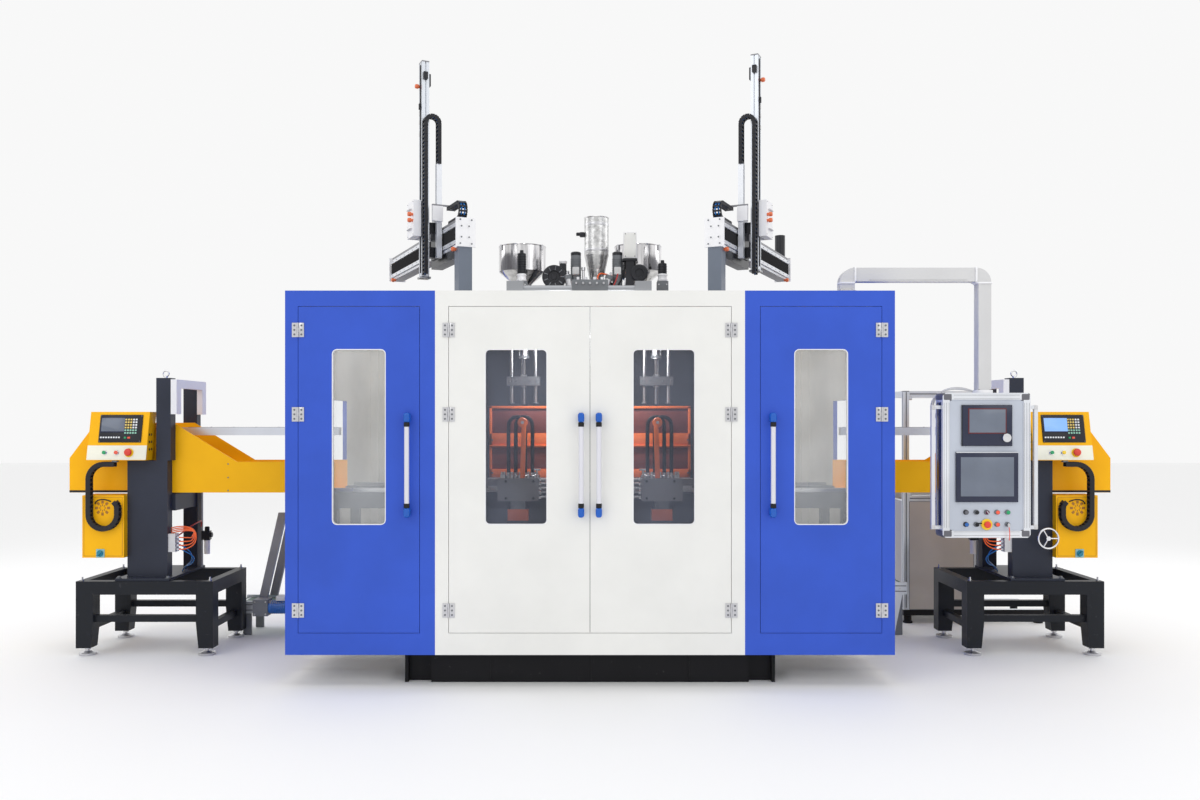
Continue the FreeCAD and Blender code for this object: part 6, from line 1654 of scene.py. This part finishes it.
clamp = {
    "station": 0.444,
    "blockTop": 1.2405,
    "blockMiddle": -0.945,
    "platen": (0.41, 0.46, 1.46),
    "platenFace": -0.6905,
    "hoses": ((0.061, -0.043), (0.017, -0.087)),
    "hoseRise": 0.38,
}
for side, sign in (("left", -1), ("right", 1)):

    def outward(offset):
        return sign * (clamp["station"] + offset)

    top, middle = clamp["blockTop"], clamp["blockMiddle"]
    blockScrews = screwsAt(
        0.008, 0.004,
        [(outward(0.085 * a - 0.01), -0.9905, 1.17 + 0.052 * b) for a in (-1, 1) for b in (-1, 1)]
    )
    elbow = lathe(
        [(0.017, 0), (0.017, 0.014), (0.013, 0.018), (0.013, 0.026), (0.016, 0.027), (0.016, 0.034)], 14
    )
    elbows = repeated(elbow, [(outward(spot), middle, top) for pair in clamp["hoses"] for spot in pair])
    small = lathe([(0.012, 0), (0.012, 0.02), (0.007, 0.024), (0.007, 0.04)], 6)
    smalls = repeated(
        small, [(outward(spot), -0.972, top) for spot in (0.10, 0.085, 0.038, -0.01, -0.064, -0.105)]
    )
    tap = joined(
        moved(
            lathe([(0.016, 0), (0.016, 0.02), (0.008, 0.024), (0.008, 0.05)], 16),
            (outward(-0.115), middle, top)
        ),
        moved(block((0.05, 0.014, 0.014), 0.005), (outward(-0.115), middle, top + 0.052)),
    )
    pipe = moved(lathe([(0.008, -0.03), (0.008, 0.03)], 10), axes=towardsRight)
    pipes = repeated(pipe, [(outward(-0.158), -0.97 + 0.02 * (k % 2), 1.125 + 0.027 * k) for k in range(5)])
    nut = moved(lathe([(0.0125, -0.007), (0.0125, 0.007)], 6), axes=towardsRight)
    nuts = repeated(nut, [(outward(-0.136), -0.97 + 0.02 * (k % 2), 1.125 + 0.027 * k) for k in range(5)])
    blockParts = [
        ("controlBlack", blockScrews), ("brightSteel", elbows), ("brightSteel", smalls), ("chrome", tap),
        ("brightSteel", pipes), ("chrome", nuts)
    ]
    piece(f"{side}_drive_fittings", f"{side}_shuttle", blockParts)
    for k, (near, away) in enumerate(clamp["hoses"]):
        rise, depth = clamp["hoseRise"], middle - 0.008 + 0.016 * k
        half = abs(near - away) / 2
        steps = np.linspace(0, math.pi, 7)
        bend = [
            (outward(near - half + half * math.cos(t)), depth, top + rise - half + half * math.sin(t))
            for t in steps
        ]
        route = [
            (outward(near), middle, top + 0.02), (outward(near), middle, top + 0.12),
            (outward(near), depth, top + 0.22), *bend
        ]
        route += [
            (outward(away), depth, top + 0.22), (outward(away), middle, top + 0.12),
            (outward(away), middle, top + 0.02)
        ]
        hose(f"{side}_clamp_hose_{k}", f"{side}_shuttle", route, 0.024, "rubberBlack")
    lean = np.array([-sign * 0.03, 0, 1.0]) / math.hypot(0.03, 1)
    lever = moved(
        block((0.030, 0.016, 0.35), 0.005), (outward(-0.032), -0.982, 1.415),
        (np.cross([0, 1, 0], lean), (0, 1, 0), lean)
    )
    knob = moved(
        lathe([(0.0001, 0), (0.026, 0), (0.031, 0.005), (0.031, 0.015), (0.026, 0.02), (0.0001, 0.02)], 28),
        (outward(-0.028), -0.966, 1.585), towardsFront
    )
    axle = moved(
        lathe([(0.0001, 0), (0.010, 0), (0.010, 0.026), (0.0001, 0.026)], 20),
        (outward(-0.028), -0.965, 1.585), towardsFront
    )
    piece(
        f"{side}_clamp_lever", f"{side}_shuttle",
        [("platenOrange", lever), ("platenOrange", knob), ("brightSteel", axle)]
    )
    rodRings = [
        lathe([(0.013, 0), (0.021, 0.001), (0.021, height), (0.013, height + 0.001)], 20)
        for height in (0.006, 0.018)
    ]
    rodEnds = joined(
        *[
            moved(ring, (outward(0.08 * a), -0.45, z)) for a in (-1, 1) for ring,
            z in zip(rodRings, (1.7105, 2.275))
        ]
    )
    cylinderEnds = repeated(
        lathe([(0.0345, 0), (0.0375, 0.001), (0.0375, 0.018), (0.0345, 0.019)], 28),
        [(outward(0), -0.45, z) for z in (2.012, 2.27)]
    )
    piece(f"{side}_guide_ends", "machine", [("machineryGrey", rodEnds), ("machineryGrey", cylinderEnds)])
    pinNuts = joined(
        moved(lathe([(0.022, 0), (0.022, 0.014)], 6), (outward(0), -0.45, 1.8905)),
        moved(lathe([(0.019, 0), (0.019, 0.012)], 6), (outward(0), -0.45, 1.8175)),
    )
    pinScrews = screwsAt(
        0.007, 0.005, [(outward(spot), -0.4905, 1.86) for spot in (-0.09, -0.045, 0.045, 0.09)]
    )
    piece(f"{side}_pin_trim", f"{side}_blow_unit", [("brightSteel", pinNuts), ("machineryGrey", pinScrews)])
    width, height, level = clamp["platen"]
    face = clamp["platenFace"]
    rims = [
        moved(block((0.016, 0.012, height), 0.002), (outward(0.197), face - 0.0055, level)),
        moved(block((0.016, 0.012, height), 0.002), (outward(-0.197), face - 0.0055, level)),
        moved(block((width, 0.012, 0.016), 0.002), (outward(0), face - 0.0055, level + 0.222)),
        moved(block((width, 0.012, 0.052), 0.002), (outward(0), face - 0.0055, level - 0.204)),
        moved(block((width, 0.012, 0.088), 0.002), (outward(0), face - 0.0055, level + 0.010)),
    ]
    shelf = moved(block((width, 0.022, 0.010), 0.003), (outward(0), face - 0.0105, level - 0.026))
    # dark plates laid over the platen's pockets: painted shade for the recesses between the orange ribs
    pocketShadePlates = [
        moved(block((0.376, 0.003, 0.158), 0.001), (outward(0), face - 0.0012, level + 0.134)),
        moved(block((0.376, 0.003, 0.138), 0.001), (outward(0), face - 0.0012, level - 0.106)),
    ]
    piece(
        f"{side}_platen_ribs", f"{side}_front_clamp",
        [("platenOrange", joined(*rims, shelf)), ("platenPaintedShade", joined(*pocketShadePlates))]
    )
    bolt = moved(screwHead(0.011, 0.008), axes=towardsBack)
    spots = [(outward(0.185 * a), -0.2095, level + 0.205 * b) for a in (-1, 1) for b in (-1, 1)]
    piece(f"{side}_rear_platen_bolts", f"{side}_rear_clamp", [("brightSteel", repeated(bolt, spots))])
    bolt = moved(screwHead(0.006, 0.005), axes=towardsFront)
    spots = [
        (outward(0.186 * a), face - 0.0115, level + b)
        for a in (-1, -0.4, 0.4, 1)
        for b in (-0.2, 0.012)
    ]
    piece(f"{side}_front_platen_bolts", f"{side}_front_clamp", [("machineryGrey", repeated(bolt, spots))])
layers = []
for z in (1.955, 2.03, 2.105, 2.18, 2.25):
    layers += [
        (
            "brightSteel",
            moved(lathe([(0.0985, 0), (0.102, 0.002), (0.102, 0.044), (0.0985, 0.046)], 40), (0, -0.45, z))
        ),
        ("machineryGrey", moved(block((0.03, 0.02, 0.03), 0.004), (0.0, -0.562, z + 0.023))),
    ]
layers.append(
    (
        "brightSteel",
        repeated(
            screwHead(0.009, 0.007),
            [
                (0.085 * math.cos(t), -0.45 + 0.085 * math.sin(t), 2.33)
                for t in np.radians([20, 70, 110, 160, 200, 250, 290, 340])
            ]
        )
    )
)
piece("head_heaters", "machine", layers)
print("clamps made")

# ---- conveyors, feeder tower and base ----

lineUp = {
    "left": (-2.65, -1.83, 0.205, 0.027),
    "right": (1.83, 2.36, 0.345, 0.027),
    "edges": (0.3155, 0.5745),
    "posts": ((2.4925, 0.7525), (3.0475, 0.7525), (2.4925, 1.2075), (3.0475, 1.2075)),
    "towerTop": 1.828,
}
layers = []
for start, end, height, radius in (lineUp["left"], lineUp["right"]):
    roller = moved(
        lathe(
            [(0.008, -0.004), (0.008, 0), (radius, 0.001), (radius, 0.253), (0.008, 0.254), (0.008, 0.258)],
            28
        ),
        axes=lengthwise
    )
    outer = start if abs(start) > abs(end) else end
    inner = outer - math.copysign(0.03, outer)
    layers.append(("railWhite", moved(roller, (inner, lineUp["edges"][0] + 0.0025, height))))
    length = abs(end - start)
    grooves = [((start + end) / 2, y, height + lift) for y in (0.2945, 0.5955) for lift in (-0.02, 0.02)]
    layers.append(("machineryGrey", repeated(block((length - 0.01, 0.0012, 0.007), 0.0005), grooves)))
    ribs = [
        (spot, 0.445, height + radius - 0.001)
        for spot in np.arange(min(start, end) + 0.08, max(start, end) - 0.03, 0.06)
    ]
    layers.append(("beltGreen", repeated(block((0.004, 0.25, 0.003), 0.001, 1), ribs)))
    spots = [(start + (end - start) * share, 0.2935, height) for share in (0.12, 0.35, 0.65, 0.9)]
    layers.append(("brightSteel", screwsAt(0.006, 0.004, spots)))
motorFins = moved(
    lathe([(0.0482, 0), (0.052, 0.001), (0.052, 0.004), (0.0482, 0.005)], 28), axes=towardsRight
)
layers += [
    ("lampBlue", repeated(motorFins, [(spot, 0.24, 0.22) for spot in np.arange(-2.345, -2.20, 0.014)])),
    (
        "machineryGrey",
        moved(
            lathe([(0.045, 0), (0.047, 0.004), (0.043, 0.02), (0.0001, 0.022)], 28), (-2.187, 0.24, 0.22),
            towardsRight
        )
    ),
    ("lightGrey", moved(block((0.07, 0.06, 0.035), 0.006), (-2.28, 0.24, 0.285))),
    (
        "brightSteel",
        screwsAt(
            0.007, 0.004, [(-2.42 + 0.04 * a, 0.1845, 0.22 + 0.045 * b) for a in (-1, 1) for b in (-1, 1)]
        )
    ),
]
piece("conveyor_trim", "machine", layers)
layers = []
grooves, gussets = [], []
for x, y in lineUp["posts"]:
    grooves += [(x, y - 0.0228, 0.97), (x, y + 0.0228, 0.97)]
    gussets += [
        (x + (0.036 if x < 2.8 else -0.036), y, 0.118), (x + (0.036 if x < 2.8 else -0.036), y, 1.018),
        (x + (0.036 if x < 2.8 else -0.036), y, 1.770)
    ]
layers.append(("machineryGrey", repeated(block((0.009, 0.0014, 1.70), 0.0005), grooves)))
sideGrooves = [(x + (-0.0228 if x < 2.8 else 0.0228), y, 0.97) for x, y in lineUp["posts"]]
layers += [
    ("machineryGrey", repeated(block((0.0014, 0.009, 1.70), 0.0005), sideGrooves)),
    ("anodised", repeated(block((0.028, 0.030, 0.028), 0.005), gussets)),
]
bars = [(2.77, y, z) for y in (0.7298, 1.2302) for z in (0.9825, 1.8055)]
layers.append(("machineryGrey", repeated(block((0.50, 0.0014, 0.009), 0.0005), bars)))
panelEdge = rounded(0.506, 0.85, 0.006)
panelPath = np.stack(
    [panelEdge[:, 0] + 2.77, np.full(len(panelEdge), 0.7298), panelEdge[:, 1] + 0.5325], -1
)
layers += [
    ("machineryGrey", sweep(panelPath, ringProfile(0.002, 0.004), (0, 1, 0), closed=True)),
    (
        "controlBlack",
        moved(
            lathe([(0.024, 0), (0.024, 0.002), (0.017, 0.003), (0.0001, 0.0031)], 28), (2.4695, 0.98, 0.86),
            towardsLeft
        )
    ),
]
pads = lathe([(0.036, 0.0), (0.0365, 0.010), (0.030, 0.016), (0.012, 0.022), (0.012, 0.058)], 24)
layers.append(("rubberBlack", repeated(pads, [(x, y, 0) for x in (2.51, 3.54) for y in (0.752, 1.208)])))
caps = block((0.047, 0.047, 0.006), 0.002)
layers.append(
    ("controlBlack", repeated(caps, [(x, y, lineUp["towerTop"] - 0.0015) for x, y in lineUp["posts"]]))
)
piece("tower_trim", "machine", layers)
layers = [
    (
        "brightSteel",
        repeated(
            lathe([(0.012, 0), (0.0115, 0.009)], 6),
            [(1.138 * a, b, 0.190) for a in (-1, 1) for b in (-0.8, -0.4, 0.4, 0.8)]
        )
    ),
    (
        "skidBlack",
        repeated(block((0.012, 0.004, 0.15), 0.002), [(x, -1.0425, 0.09) for x in (-0.6, 0.0, 0.6)])
    ),
]
vents = [
    (sign * 1.8305, y, z)
    for sign in (-1, 1)
    for y in (-0.75, 0.75)
    for z in np.arange(0.42, 0.60, 0.03)
]
layers.append(("machineryGrey", repeated(block((0.004, 0.24, 0.009), 0.0035), vents)))
backVents = [(x, 1.1505, z) for x in (-1.38, 1.38) for z in np.arange(0.42, 0.72, 0.03)]
layers.append(("machineryGrey", repeated(block((0.34, 0.004, 0.009), 0.0035), backVents)))
seams = [(x, 1.1503, 1.28) for x in (-0.31, 0.31)]
layers.append(("machineryGrey", repeated(block((0.003, 0.002, 2.16), 0.0008), seams)))
rivets = [
    (x, 1.1502, z)
    for x in (-0.33, -0.29, 0.29, 0.33, -0.90, 0.90, -1.79, 1.79)
    for z in np.linspace(0.26, 2.3, 9)
]
layers.append(("machineryGrey", screwsAt(0.006, 0.002, rivets, towardsBack)))
piece("cabin_trim", "machine", layers)
print("conveyors, tower and base made")

floorMesh = bpy.data.meshes.new("floor")
floorMesh.from_pydata([(-30, -30, 0), (30, -30, 0), (30, 30, 0), (-30, 30, 0)], [], [(0, 1, 2, 3)])
floorMaterial = bpy.data.materials.new("floorPaper")
floorMaterial.use_nodes = True
floorMaterial.node_tree.nodes["Principled BSDF"].inputs["Base Color"].default_value = (*studio["floor"], 1)
floorMaterial.node_tree.nodes["Principled BSDF"].inputs["Roughness"].default_value = 0.7
floorMesh.materials.append(floorMaterial)
floor = bpy.data.objects.new("floor", floorMesh)
bpy.context.scene.collection.objects.link(floor)
floor.location = (0, 0, -0.001)

print("all pieces made")
